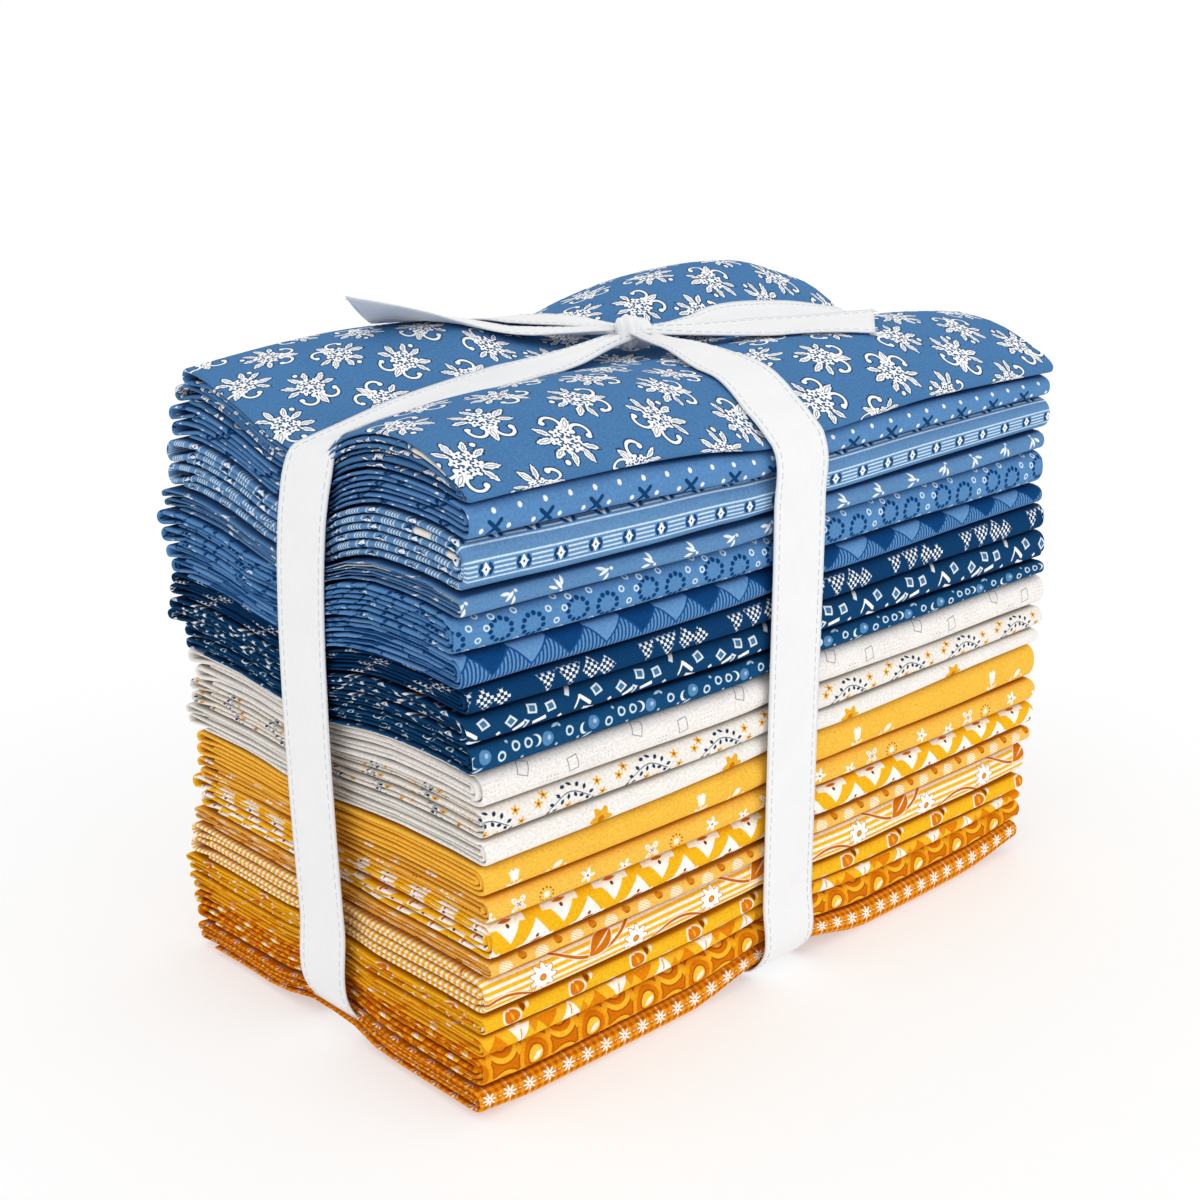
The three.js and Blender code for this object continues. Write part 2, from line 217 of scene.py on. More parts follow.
def level_height(level, x, y):
    """Height of the top of the level-th yard from the bottom. Level 0 is the pile's underside."""
    even = between_ends(*(sum(yard[end] for yard in pile[:level]) for end in (0, 1)), x)
    whole = between_ends(PILE_LEFT, PILE_RIGHT, x)
    broad = np.zeros(len(x))
    for k, place in enumerate(BROAD_X):
        at_place = crown_height(np.full(len(y), place), y) - between_ends(PILE_LEFT, PILE_RIGHT, place)
        broad += at_place * np.maximum(0, 1 - np.abs(np.interp(x, BROAD_X, range(4)) - k))
    broad -= TOP_FULLNESS * np.clip((x - BROAD_X[2]) / (BROAD_X[3] - BROAD_X[2]), 0, 1)
    cushion = crown_height(x, y) - whole - broad
    depth = np.clip(even / whole, 0, 1)
    broad_fade = np.where(broad < 0, depth**SAG_FADE, depth**SWELL_FADE)
    cushion_fade = CUSHION_FADE_FRONT + (CUSHION_FADE_BACK - CUSHION_FADE_FRONT) * ramp(y, -60, 40)
    lift = foot_height(x, y) * (1 - depth) ** FOOT_FADE
    return even + broad * broad_fade + cushion * depth**cushion_fade + lift


def pile_top(x, y):
    """Height of the top yard's upper side once the whole pile is laid."""
    x, y = np.broadcast_arrays(np.asarray(x, float), np.asarray(y, float))
    height = crown_height(x.ravel(), y.ravel()).reshape(x.shape)
    return height - FRONT_ROLL * ramp(-y, FRONT_ROLL_START, FRONT_ROLL_END)


# ---- A folded yard
# One yard of quilting cotton, folded twice across its width into a four-ply strip 280 mm
# wide. The strip is folded in thirds and then in half: six passes with three nested turns
# at the front, two puffed-out turns and the two cut ends at the back.

TOP_YARD = "yard_01_sprig"
ROUTE = [0, 5, 4, 1, 2, 3]  # passes in the strip's order, counted from the bottom
TURN_CHORDS = [16, 8, 12, 8, 8]  # flats round each turn, in the strip's order
PASS_GAP, YARD_GAP = 0.5, 1.0
FOLD_FRONT = -80.3  # y where the front turns spring
TURN_BLUNTNESS = 0.82  # of the front turns, 1 being round
PUFF = 15  # the back turns open over this length
CUT_SETBACK = 12  # the two cut ends stop this far short of the back turns
STATIONS, FINE_STATIONS = 13, 22  # along each pass
X_STEP, FINE_X_STEP = 9.5, 6.5
EDGE_STATIONS = [0, 0.3, 0.9, 2.2, 5.5]  # mm from a fold's side edge
EDGE_BORDER = 9  # and even steps beyond this
EDGE_ROUND, EDGE_TIP = 1.1, 0.12
CREASE_SHADE_START, CREASE_SHADE_FULL = 0.4, 1.4  # mm in from the side edge where the painted shade in the creases starts and is full
OUTER_REACH = np.array([0.5, 0, 0, 0, 0, 0.5])  # the outer wrap stands out past the inner passes
PASS_REACH, MOST_REACH = (-1.2, 0.1), 0.5  # of a pass past its yard's own side
SIDE_LOOP = 2.4  # cloth that goes round a side edge, mm
SETBACK = (0, 3.5)  # of a back turn that falls short at the left end
# Shortest and longest wave of the side edges, passes and front turns, and how far they go
EDGE_WAVES, EDGE_WANDER = (60, 200), 0.4
PASS_WAVES, PASS_WANDER = (70, 190), 0.011
FRONT_WAVES, FRONT_WANDER = (90, 260), 0.45
LEFT_DENT = (2, 17, 1.6)  # where the ribbon presses the left end: y, half width, depth
RIGHT_DENT = (4, 17, 1.2)
FRONT_DENT = (-4, 11, 24, 0.9)  # and the front: x, half width of its floor and in all, depth
UNDER_RIBBON = -141.9  # x that no yard passes where the ribbon lies on the left end


def wander(rng, waves, size):
    """A smooth random function of one length in mm, about as large as size."""
    rates = 2 * math.pi / rng.uniform(*waves, 4)
    phases = rng.uniform(0, 2 * math.pi, 4)
    return lambda at: size * sum(np.sin(rate * at + phase) for rate, phase in zip(rates, phases)) / 2


def strip_sides(thickness, back, stations, fullness):
    """Both sides of the folded strip, seen from its side edge. Rows: y, height as a share
    of the yard's thickness, the gap between passes that it borders, how closely it follows
    that gap, how far out on a turn it is, and its pass."""
    gap = PASS_GAP / thickness
    ply = (1 - 5 * gap) / 6
    front_turn = FOLD_FRONT + fullness * thickness / 2
    back_turn = back - (0.5 - gap / 2) / 2 * thickness

    def level(index, low, puffed):
        start = index * (ply + gap)
        if puffed:
            start = {1: 0, 4: 0.5 + gap / 2}.get(index, start)
        return start + (0 if low else ply)

    def half_turn(start, end, chords, at_front):
        angles = np.linspace(0, math.pi, chords + 1)[1:-1]
        power = TURN_BLUNTNESS if at_front else 1.0
        bow = np.sin(angles) ** power
        swing = np.sign(np.cos(angles)) * np.abs(np.cos(angles)) ** power
        reach = abs(end - start) / 2 * thickness
        y = front_turn - reach * fullness * bow if at_front else back_turn + reach * bow
        return y, (start + end) / 2 + (start - end) / 2 * swing, bow

    sides = []
    for low in (True, False):
        rows = []
        for order, index in enumerate(ROUTE):
            at_front = order % 2 == 0  # the turn that follows
            run = np.linspace(front_turn, back - CUT_SETBACK if index in (0, 3) else back_turn, stations)
            run = run[::-1] if at_front else run
            opened = ramp(run, back_turn - PUFF, back_turn - 2)
            share = level(index, low, False) * (1 - opened) + level(index, low, True) * opened
            border = index if low else index + 1
            rows.append(np.stack(np.broadcast_arrays(run, share, border, 1 - opened, 0.0, index)))
            if order < 5:
                ends = level(index, low, not at_front), level(ROUTE[order + 1], not low, not at_front)
                y, share, bow = half_turn(*ends, TURN_CHORDS[order], at_front)
                rows.append(np.stack(np.broadcast_arrays(y, share, border, 0.0, bow, index)))
            low = not low
        sides.append(np.concatenate(rows, axis=1))
    return sides


def joined_mesh(name, points, patches, marks={}):
    """Closed mesh from grids of point numbers, each with its own grid of cloth places."""
    faces, places = [], []
    low, high = slice(None, -1), slice(1, None)
    corners = [(low, low), (high, low), (high, high), (low, high)]
    for numbers, cloth in patches:
        if numbers.ndim == 1:
            faces.append(list(numbers))
            places.extend(cloth)
            continue
        faces.extend(np.stack([numbers[c] for c in corners], axis=-1).reshape(-1, 4).tolist())
        places.extend(np.stack([cloth[c] for c in corners], axis=-2).reshape(-1, 2))
    mesh = bpy.data.meshes.new(name)
    mesh.from_pydata(in_frame(points).tolist(), [], faces)
    layer = mesh.uv_layers.new(name="cloth")
    layer.uv.foreach_set("vector", (np.asarray(places, np.float32) * MM).ravel())
    for mark, values in marks.items():
        mesh.attributes.new(mark, "FLOAT", "POINT").data.foreach_set("value", values.astype(np.float32))
    work = bmesh.new()
    work.from_mesh(mesh)
    bmesh.ops.recalc_face_normals(work, faces=work.faces)
    work.to_mesh(mesh)
    work.free()
    mesh.shade_smooth()
    return into_scene(name, mesh)


def stand_for(obj, node, finish):
    obj.data.materials.append(finish)
    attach(obj, "root")
    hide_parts(node)


def lay_yard(node, left, right, cotton, fullness=1.0, fine=False, selvage=(), setback=None):
    """Lays the next yard on the pile. selvage: (pass, from y, to y) of the woven edges that
    show at the left end. setback: how far the lower and the upper back turn stop short at
    the left end, mm."""
    level = len(pile)
    pile.append((left, right))
    rng = np.random.default_rng(level + 40)
    if setback is None:
        setback = rng.uniform(*SETBACK, 2)
    low_corner, high_corner = (np.asarray(corner) / MM - (*STACK_MIDDLE, 0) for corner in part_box(node))
    thickness = (left + right) / 2
    sides = strip_sides(thickness, high_corner[1], FINE_STATIONS if fine else STATIONS, fullness)
    first_y, passes = sides[0][0], sides[0][5].astype(int)

    # Where each point of the strip starts and ends along X
    steps = [np.hypot(np.diff(side[0]), np.diff(side[1]) * thickness) for side in sides]
    run = np.concatenate([[0], np.cumsum(np.maximum(*steps))])  # on the outer side of each turn
    count = len(run)
    along = run - run[first_y[:count // 3].argmin()]
    reach = (rng.uniform(*PASS_REACH, (2, 6)) + OUTER_REACH)[:, passes]
    edges = []
    for end, corner, (place, half, depth) in ((0, low_corner, LEFT_DENT), (1, high_corner, RIGHT_DENT)):
        off_ribbon = np.abs((first_y + sides[1][0]) / 2 - place)
        uneven = reach[end] + wander(rng, EDGE_WAVES, EDGE_WANDER)(along)
        pressed = depth * (1 - ramp(off_ribbon, half * 0.6, half * 1.3))
        edges.append(corner[0] + (np.minimum(uneven, MOST_REACH) - pressed) * (2 * end - 1))
        if end == 0:  # no yard stands out under the taut ribbon
            under = 1 - ramp(off_ribbon, half * 0.8, half * 1.3)
            edges[0] = edges[0] + under * np.maximum(UNDER_RIBBON - edges[0], 0)
    step = FINE_X_STEP if fine else X_STEP
    inner = np.arange(1, int(FOLD_LENGTH / step)) * step
    inner = inner[(inner > EDGE_BORDER) & (inner < FOLD_LENGTH / 2)]
    span = (edges[1] - edges[0])[:, None]
    from_left = np.concatenate([EDGE_STATIONS, inner])[None] / span
    x_shares = np.concatenate([from_left, 1 - from_left[:, ::-1]], axis=1)
    x = edges[0][:, None] + span * x_shares
    nearest = np.minimum(x_shares, 1 - x_shares) * span

    # Heights between the two levels, with passes that wave a little
    waves = [wander(rng, PASS_WAVES, PASS_WANDER) for _ in range(14)]

    def placed(side):
        y0, share, border, strength = side[:4]
        y = np.broadcast_to(y0[:, None], x.shape).copy()
        bow = wander(np.random.default_rng(level + 7), FRONT_WAVES, FRONT_WANDER)(x)
        place, floor, half, depth = FRONT_DENT
        dent = depth * (1 - ramp(np.abs(x - place), floor, half))
        y += ramp(-y, 30, 80) * (dent - np.minimum(bow, 0.4))
        short = setback[0] + (setback[1] - setback[0]) * ramp(share, 0.46, 0.54)[:, None]
        y -= short * ramp(y, 10, 80) * (1 - ramp(x, -125, 0))
        shift = np.zeros(x.shape)
        for k in range(1, 6):
            here = border == k
            shift[here] = waves[k](y[here] + 40) + waves[k + 6](x[here])
        part = share[:, None] + shift * strength[:, None]
        bottom, top = (level_height(k, x.ravel(), y.ravel()).reshape(x.shape) for k in (level, level + 1))
        if node == TOP_YARD:
            top = pile_top(x, y)
        bottom += YARD_GAP / 2 if level else 0
        top -= YARD_GAP / 2
        return np.stack([x, y, bottom + (top - bottom) * part], axis=-1)

    a, b = map(placed, sides)
    middle = (a + b) / 2
    inside = np.clip(nearest / EDGE_ROUND, 0, 1)
    rounding = np.sqrt(np.clip(1 - (1 - inside) ** 2, 0.06, 1))[..., None]
    a, b = (middle + (side - middle) * rounding for side in (a, b))
    tips = [middle[:, column] + (way * EDGE_TIP, 0, 0) for column, way in ((0, -1), (-1, 1))]
    points = np.concatenate([a.reshape(-1, 3), b.reshape(-1, 3), *tips])

    def grid(u):
        return np.stack(np.broadcast_arrays(u, along[:, None]), axis=-1)

    number_a = np.arange(x.size).reshape(x.shape)
    number_b = number_a + x.size
    tip_left = 2 * x.size + np.arange(count)
    cloth_a = grid(x)
    patches = [(number_a, cloth_a), (number_b, grid(2 * edges[0][:, None] - x - SIDE_LOOP))]
    rounds = ((0, tip_left, -1), (-1, tip_left + count, 1))
    for column, tip, way in rounds:
        loop = edges[column][:, None] + way * SIDE_LOOP * np.array([0, 0.5, 1])
        patches.append((np.stack([number_a[:, column], tip, number_b[:, column]], axis=1), grid(loop)))
    for row in (0, -1):
        end = np.stack([cloth_a[row], cloth_a[row] + (0, 1)])
        patches.append((np.stack([number_a[row], number_b[row]]), end))
        for column, tip, _ in rounds:
            corner = np.array([number_a[row, column], tip[row], number_b[row, column]])
            patches.append((corner, np.stack([cloth_a[row, column]] * 3)))

    # Painted shade down in the creases between folds, where little light reaches, and the woven edges
    crease_shades, woven_edges = np.zeros((2, len(points)))
    for numbers, side in zip((number_a, number_b), sides):
        # Painted shade: strongest where the cloth is tucked in a fold rather than out on a turn, and in from
        # the side edge; none on the top yard's upper side
        in_shade = 1 - ramp(side[4], 0.12, 0.42)
        if node == TOP_YARD:
            in_shade[side[1] > 0.9] = 0
        crease_shades[numbers] = in_shade[:, None] * ramp(nearest, CREASE_SHADE_START, CREASE_SHADE_FULL)
    for index, y_from, y_to in selvage:
        mine = (passes == index) & (first_y > y_from) & (first_y < y_to)
        for numbers in (number_a[mine, :3], number_b[mine, :3], tip_left[mine]):
            woven_edges[numbers] = 1

    yard = joined_mesh(node + "_cloth", points, patches, {"selvage": woven_edges, "painted_crease_shade": crease_shades})
    stand_for(yard, node, cotton)


# ---- Printed quilting cotton
# A plain weave of fine threads, about 28 to the centimetre, dyed or printed on both
# sides. A print is laid on by distance: each motif is a curve or block round its middle,
# in mm of flat cloth, so it follows the cloth round every fold.

SELVAGE_WHITE = "#f4ede1"
THREAD_PITCH = 0.36  # mm
CREASE_SHADE, CREASE_SHADE_TINT = 0.03, 0.55  # painted shade down between two folds, as shares of the ground's colour


class Field:
    """A number at every place of a cloth, worked out by Math nodes."""

    def __init__(self, socket):
        self.tree, self.socket = socket.id_data, socket

    def __add__(self, other):
        return worked("ADD", self, other)

    def __sub__(self, other):
        return worked("SUBTRACT", self, other)

    def __rsub__(self, other):
        return worked("SUBTRACT", other, self)

    def __mul__(self, other):
        return worked("MULTIPLY", self, other)

    def __truediv__(self, other):
        return worked("DIVIDE", self, other)

    def __abs__(self):
        return worked("ABSOLUTE", self)

    __radd__, __rmul__ = __add__, __mul__


def worked(operation, *values, clamp=False):
    tree = next(value.tree for value in values if isinstance(value, Field))
    feeds = dict(enumerate(values))
    return Field(add(tree, "ShaderNodeMath", feeds, operation=operation, use_clamp=clamp).outputs[0])


def least(first, *others):
    for other in others:
        first = worked("MINIMUM", first, other)
    return first


def most(first, *others):
    for other in others:
        first = worked("MAXIMUM", first, other)
    return first


def fract(at):
    return worked("FRACT", at)


def off_middle(at, pitch):
    """How far a place is from the middle of its step in a row of steps."""
    return abs(fract(at / pitch) - 0.5) * pitch


def size_of(x, y):
    return worked("SQRT", worked("MULTIPLY_ADD", x, x, y * y))


def turned(x, y, degrees):
    c, s = math.cos(math.radians(degrees)), math.sin(math.radians(degrees))
    return worked("MULTIPLY_ADD", x, c, y * s), worked("MULTIPLY_ADD", y, c, x * -s)


def spun(x, y, angle):
    c, s = worked("COSINE", angle), worked("SINE", angle)
    return x * c + y * s, y * c - x * s


def places(u, v, wide, high, at=(0, 0), brick=0.5):
    """x and y from the middle of each place of a repeat, and its column and row."""
    rows = (v - at[1]) / high + 0.5
    row = worked("FLOOR", rows)
    columns = (u - at[0]) / wide + 0.5
    if brick:
        columns = columns + row * brick
    column = worked("FLOOR", columns)
    return (columns - column - 0.5) * wide, (rows - row - 0.5) * high, column, row


def repeat(u, v, wide, high, at=(0, 0), brick=0.5):
    return places(u, v, wide, high, at, brick)[:2]


def chance(column, row, seed):
    """A number from 0 to 1 that is the same all over one place of a repeat."""
    place = add(row.tree, "ShaderNodeCombineXYZ", {"X": column + 0.5, "Y": row + 0.5, "Z": seed})
    return Field(add(row.tree, "ShaderNodeTexWhiteNoise", {"Vector": place.outputs[0]}).outputs["Value"])


def disc(x, y, radius):
    return size_of(x, y) - radius


def line_along(distance, width):
    """The line of that width along a motif's edge."""
    return abs(distance) - width / 2


def block(x, y, half_x, half_y):
    return most(abs(x) - half_x, abs(y) - half_y)


def petals(x, y, count, middle, lobe, turn=0.0):
    angle = worked("ARCTAN2", y, x) * count + turn
    return size_of(x, y) - worked("COSINE", angle) * lobe - middle


def leaf(x, y, length, width, degrees=0):
    x, y = turned(x, y, degrees) if degrees else (x, y)
    along = x * (2 / length)
    return abs(y) + (along * along) * (width / 2) - width / 2


def ring_of(x, y, count, radius):
    """x and y from the nearest of some places spaced round a ring."""
    sector = fract(worked("ARCTAN2", y, x) * (count / math.tau)) - 0.5
    return sector * (math.tau * radius / count), size_of(x, y) - radius


def linear(code):
    """A colour such as #4a78b0 as the numbers that a shader takes."""
    parts = [int(code[i:i + 2], 16) / 255 for i in (1, 3, 5)]
    return (*(part / 12.92 if part <= 0.04045 else ((part + 0.055) / 1.055) ** 2.4 for part in parts), 1)


class Dye:
    """The colour of a cloth, with inks laid over each other."""

    def __init__(self, tree, ground):
        self.tree, self.colour = tree, linear(ground)

    def mix(self, amount, ink):
        feeds = {"Factor": amount, 6: self.colour, 7: ink}
        self.colour = add(self.tree, "ShaderNodeMix", feeds, data_type="RGBA").outputs[2]

    def ink(self, distance, colour, soft=0.28):
        """Prints where the distance is below nought."""
        self.mix(worked("MULTIPLY_ADD", distance, -1 / soft, 0.5, clamp=True), linear(colour))

    def shade(self, amount):
        feeds = {0: self.colour, "Scale": amount}
        self.colour = add(self.tree, "ShaderNodeVectorMath", feeds, operation="SCALE").outputs["Vector"]


def noise_on(vector, scale, detail=1):
    feeds = {"Vector": vector, "Scale": scale, "Detail": detail}
    return Field(add(vector.id_data, "ShaderNodeTexNoise", feeds).outputs["Fac"])


def fibres_on(vector, *scale):
    stretched = add(vector.id_data, "ShaderNodeMapping", {"Vector": vector, "Scale": (*scale, 1)})
    return noise_on(stretched.outputs["Vector"], 1)


def marked(tree, mark):
    return Field(add(tree, "ShaderNodeAttribute", attribute_name=mark).outputs["Fac"])


def new_cloth(name, ground):
    """A cloth's material, its dye, its own places, and u and v across and along it in mm."""
    material, tree, _ = new_finish(name)
    cloth = add(tree, "ShaderNodeUVMap", uv_map="cloth").outputs["UV"]
    axes = add(tree, "ShaderNodeSeparateXYZ", {0: cloth}).outputs
    return material, Dye(tree, ground), cloth, *(Field(axes[axis]) * (1 / MM) for axis in "XY")


def weave(dye, height, strength, depth, feeds):
    """Gives a cloth its relief, depth in mm, and the rest of its surface."""
    relief = {"Height": height, "Strength": strength, "Distance": depth * MM}
    normal = add(dye.tree, "ShaderNodeBump", relief).outputs["Normal"]
    shader = dye.tree.nodes["Principled BSDF"]
    feed(shader, {"Base Color": dye.colour, "Normal": normal, **feeds})


def cotton(ground, print_on):
    material, dye, cloth, u, v = new_cloth(print_on.__name__, ground)
    print_on(dye.ink, u, v)
    threads = fibres_on(cloth, 2600, 130) + fibres_on(cloth, 130, 2600)
    cloud = noise_on(cloth, 55, 3)
    fleck = noise_on(cloth, 1000)
    shade = worked("MULTIPLY_ADD", threads, 0.16, worked("MULTIPLY_ADD", cloud, 0.16, 0.51))
    dye.shade(worked("MULTIPLY_ADD", fleck, 0.5, shade))
    dye.ink(0.5 - marked(dye.tree, "selvage"), SELVAGE_WHITE, soft=0.2)
    # Painted shade: the cloth is darkened towards a deeper colour of its own ground where the painted crease
    # shade mark lies, down between the folds
    crease_shade_colour = [part * (CREASE_SHADE + CREASE_SHADE_TINT * part) for part in linear(ground)[:3]]
    dye.mix(marked(dye.tree, "painted_crease_shade") * 0.9, (*crease_shade_colour, 1))
    crossing = worked("SINE", u * (math.tau / THREAD_PITCH)) * worked("SINE", v * (math.tau / THREAD_PITCH))
    weave(dye, crossing * 0.5 + threads, 0.35, 0.12,
          {"Specular IOR Level": 0.03, "Roughness": threads * 0.1 + 0.78})
    return material


# ---- Yard 21, orange-brown gingham with white stars
# The lowest yard. Printed checks about 1.4 mm wide in orange and brown, and a row of
# eight-pointed stars with short ticks above and below.

def orange_gingham(ink, u, v):
    check = 1.37
    across, along = (off_middle(at, 2 * check) - check / 2 for at in (u, v))
    ink(across, "#e88c0e")
    ink(along, "#e3860c")
    ink(most(across, along), "#bf640a")
    x, y = repeat(u, v, 8.2, 9.43, (0, 1.49), brick=0)
    ink(block(x, abs(y) - 3.9, 0.22, 0.6), "#fbe3b4")
    ink(block(abs(x) - 4.1, y, 0.5, 0.2), "#fbe3b4")
    ink(petals(x, y, 8, 1.75, 1.0), "#fffdf6")
    ink(disc(x, y, 0.35), "#de8917")


lay_yard("yard_21_gingham", 8.4, 10.6, cotton("#f2a62c", orange_gingham))


# ---- Yard 20, overlapping discs
# Yellow and orange rings with a white sliver in each. They lap each other like roof
# shells on a brown-orange ground.

def lapped_rings(ink, u, v):
    for at, band in (((0, 0), "#f2a31a"), ((12, 8.74), "#fbbe30")):
        x, y = repeat(u, v, 24, 17.48, at, brick=0)
        y = y * 0.9
        for radius, colour in ((7.2, "#b95c08"), (6.6, band), (5.0, "#dc790a"), (3.4, "#b95c08"),
                               (2.8, "#fcc83e")):
            ink(disc(x, y, radius), colour)
        ink(leaf(x - 0.6, y + 0.5, 4.4, 1.9, 35), "#fffaf0")
    ink(leaf(*repeat(u, v, 12, 8.74, (6, 4.37), brick=0), 4.6, 2.0, 70), "#f7b024")


lay_yard("yard_20_scallop", 12.2, 10.1, cotton("#d87309", lapped_rings))


# ---- Yard 19, bells
# Yellow cotton, printed with white bell flowers and orange sails that turn to and fro.
# Folded and laid on the discs.

def bells(ink, u, v):
    x, y, column, _ = places(u, v, 20.7, 14.49, (3, 0.57))
    y = y * worked("SIGN", fract(column * 0.5) - 0.25)
    ink(most(abs(x - 6.0) * 1.2 + y - 2.8, -2.9 - y), "#e8860d")
    ink(most(abs(x - 0.2) * 1.8 + y - 1.6, -3.1 - y), "#ec9516")
    x = x + 5.2
    ink(most(abs(x) * 1.3 + y * 0.8 - 3.2, -2.9 - y), "#fffcf4")
    ink(disc(x, y + 3.3, 1.1), "#fffcf4")
    ink(block(x, y - 0.4, 0.3, 1.9), "#f0a51e")


lay_yard("yard_19_bell", 7.1, 5.0, cotton("#fbbe2b", bells))


# ---- Yard 18, buds
# Yellow cotton, printed with round orange-brown buds edged in white, each with a dark
# leaf and a white one. Folded and laid on the bells.

def outlined_buds(ink, u, v):
    x, y = turned(*repeat(u, v, 26.5, 17.25, (3, 1.15)), 14)
    bud = most(disc(x, y + 0.3, 3.0), y - 2.1 - abs(x) * 0.7)
    ink(bud - 0.7, "#fffaf0")
    ink(bud, "#e07c0d")
    ink(leaf(x, y + 0.2, 3.8, 1.1, 90), "#f6b22a")
    ink(leaf(x - 5.3, y - 1.2, 4.8, 2.0, 62), "#8f3f0b")
    ink(leaf(x - 7.4, y - 0.8, 4.2, 1.2, 50), "#fffaf0")
    ink(leaf(*repeat(u, v, 26.5, 17.25, (16, -2.76)), 7.4, 1.6, 12), "#fffaf0")


lay_yard("yard_18_bud", 6.2, 7.0, cotton("#f8be26", outlined_buds))


# ---- Yard 17, striped ground with daisies
# Yellow and white stripes along the fold, brown tendrils and broad leaves that wind
# through them, and white daisies with nine petals.

def striped_daisies(ink, u, v):
    ink(off_middle(v, 2.6) - 0.6, "#fffaec")
    tendril = v - worked("SINE", u * (math.tau / 76)) * 8.6
    for rise in (-9.1, 9.1):
        ink(line_along(tendril - rise, 1.9), "#fff3da")
        ink(line_along(tendril - rise, 1.2), "#cf6a0c")
    x, y = repeat(u, v, 76, 25.3, (-92, 3.91))
    broad = leaf(x, y, 13.5, 6.4, 30)
    ink(broad - 0.4, "#fff3da")
    ink(broad, "#d9760f")
    ink(leaf(x - 1.2, y - 0.6, 10, 0.6, 30), "#fff3da")
    for at in ((-117, 0.6), (-77, -0.8)):
        x, y = repeat(u, v, 76, 17.25, at)
        flower, eye = petals(x, y, 9, 4.4, 0.9), disc(x, y, 1.15)
        ink(flower - 0.35, "#b45a10")
        ink(flower, "#fffefa")
        ink(eye, "#ee9a1b")
        ink(line_along(eye, 0.35), "#b45a10")


lay_yard("yard_17_vine", 12.4, 13.2, cotton("#f9bb22", striped_daisies))


# ---- Yard 16, hatched discs
# Light orange cotton, printed with pale hatched discs and small brown drops in turn.
# Folded thin and laid on the daisies.

def hatched_discs(ink, u, v):
    x, y = repeat(u, v, 14.6, 10.12, (0, 0.3))
    hatch = off_middle(turned(x, y, 52)[0], 1) - 0.32
    ink(most(disc(x, y, 2.7), hatch), "#fff6e2")
    x, y = repeat(u, v, 14.6, 10.12, (7.3, 2.0))
    ink(disc(x, y, 1.35), "#b9650f")
    ink(most(disc(x, y - 0.5, 1.6), -0.4 - y), "#d98416")
    ink(block(x, y - 2.2, 0.2, 0.6), "#a4500c")


lay_yard("yard_16_acorn", 5.2, 6.5, cotton("#fac25a", hatched_discs))


# ---- Yard 15, white triangles
# Yellow cotton, printed with rows of white triangles that point up and down in turn, and
# small open squares between them.

def white_triangles(ink, u, v):
    for at, way in (((0, 4.2), -1), ((10.8, -1.8), 1)):
        x, y = repeat(u, v, 21.6, 15.41, at, brick=0)
        y = y * (0.88 * way)
        ink(most(abs(x) * 0.68 + y * 0.6 - 2.9, -3.1 - y), "#fffdf7")
        ink(leaf(x, y + 1.9, 5.4, 1.3), "#cf6f0e")
        ink(disc(x, y + 0.3, 0.65), "#7d360a")
    square = block(*turned(*repeat(u, v, 10.8, 15.41, (5.4, -5.29), brick=0), 12), 1.9, 1.9)
    ink(square, "#fffdf7")
    ink(square + 1.3, "#8a4a12")
    ink(block(*turned(*repeat(u, v, 10.8, 15.41, (5.4, 6.44), brick=0), -9), 1.8, 1.8), "#fffdf7")


lay_yard("yard_15_triangle", 12.9, 10.1, cotton("#f8bb20", white_triangles))


# ---- Yard 14, stars and clovers
# Light orange cotton, printed with white stars, dotted suns and four-leaved clovers, one
# after the other.

def stars_and_clovers(ink, u, v):
    for at in ((-98, 0.6), (-82, -1.8)):
        x, y = repeat(u, v, 56, 16.1, at)
        ink(petals(x, y, 5, 2.1, 0.95, 0.6), "#fffcf4")
        ink(disc(x, y, 0.45), "#9a4b0c")
    x, y = repeat(u, v, 56, 16.1, (-126, 0.23))
    ink(petals(x, y, 4, 2.5, 1.2, 3.1), "#fffcf4")
    ink(line_along(petals(x, y, 4, 1.6, 0.9, 3.1), 0.35), "#eeae33")
    ink(most(line_along(abs(x) - abs(y), 0.45), disc(x, y, 1.3)), "#9a4b0c")
    x, y = repeat(u, v, 56, 16.1, (-115, -0.23))
    ink(petals(x, y, 8, 1.2, 0.3), "#fffcf4")
    ink(disc(*ring_of(x, y, 11, 2.7), 0.36), "#9a4b0c")


lay_yard("yard_14_clover", 8.8, 9.7, cotton("#fac350", stars_and_clovers))


# ---- Yard 13, tulips
# Light orange cotton, printed with white tulips on short twigs and loose petals, far
# apart. It is folded more loosely at its right end.

def scattered_tulips(ink, u, v):
    x, y = repeat(u, v, 80, 19.55, (-127, 0.69))
    cup = most(abs(x) - 1.7 - y * 0.18, abs(y) - 2.4, y - 1.5 - abs(worked("SINE", x * 1.8)) * 0.9)
    twig = least(leaf(x - 1.7, y + 4.2, 3.6, 1.2, 35), leaf(x + 1.7, y + 4.2, 3.6, 1.2, 145))
    ink(least(cup, block(x, y + 4.2, 0.25, 1.8), twig), "#fffcf4")
    x, y = repeat(u, v, 80, 19.55, (-110, -2.07))
    loose = least(leaf(x + 3.4, y + 1.8, 2.6, 0.9, 80), disc(x - 3.6, y + 1.5, 0.5))
    ink(least(leaf(x, y, 4.6, 2.6, 35), loose), "#fffcf4")


lay_yard("yard_13_tulip", 10.2, 14.3, cotton("#fac248", scattered_tulips), fullness=0.9)


# ---- Yard 12, orange blooms
# Cream-white cotton, printed with orange-yellow blooms that have fat petals and stand
# wide apart. The lowest of the pale yards.

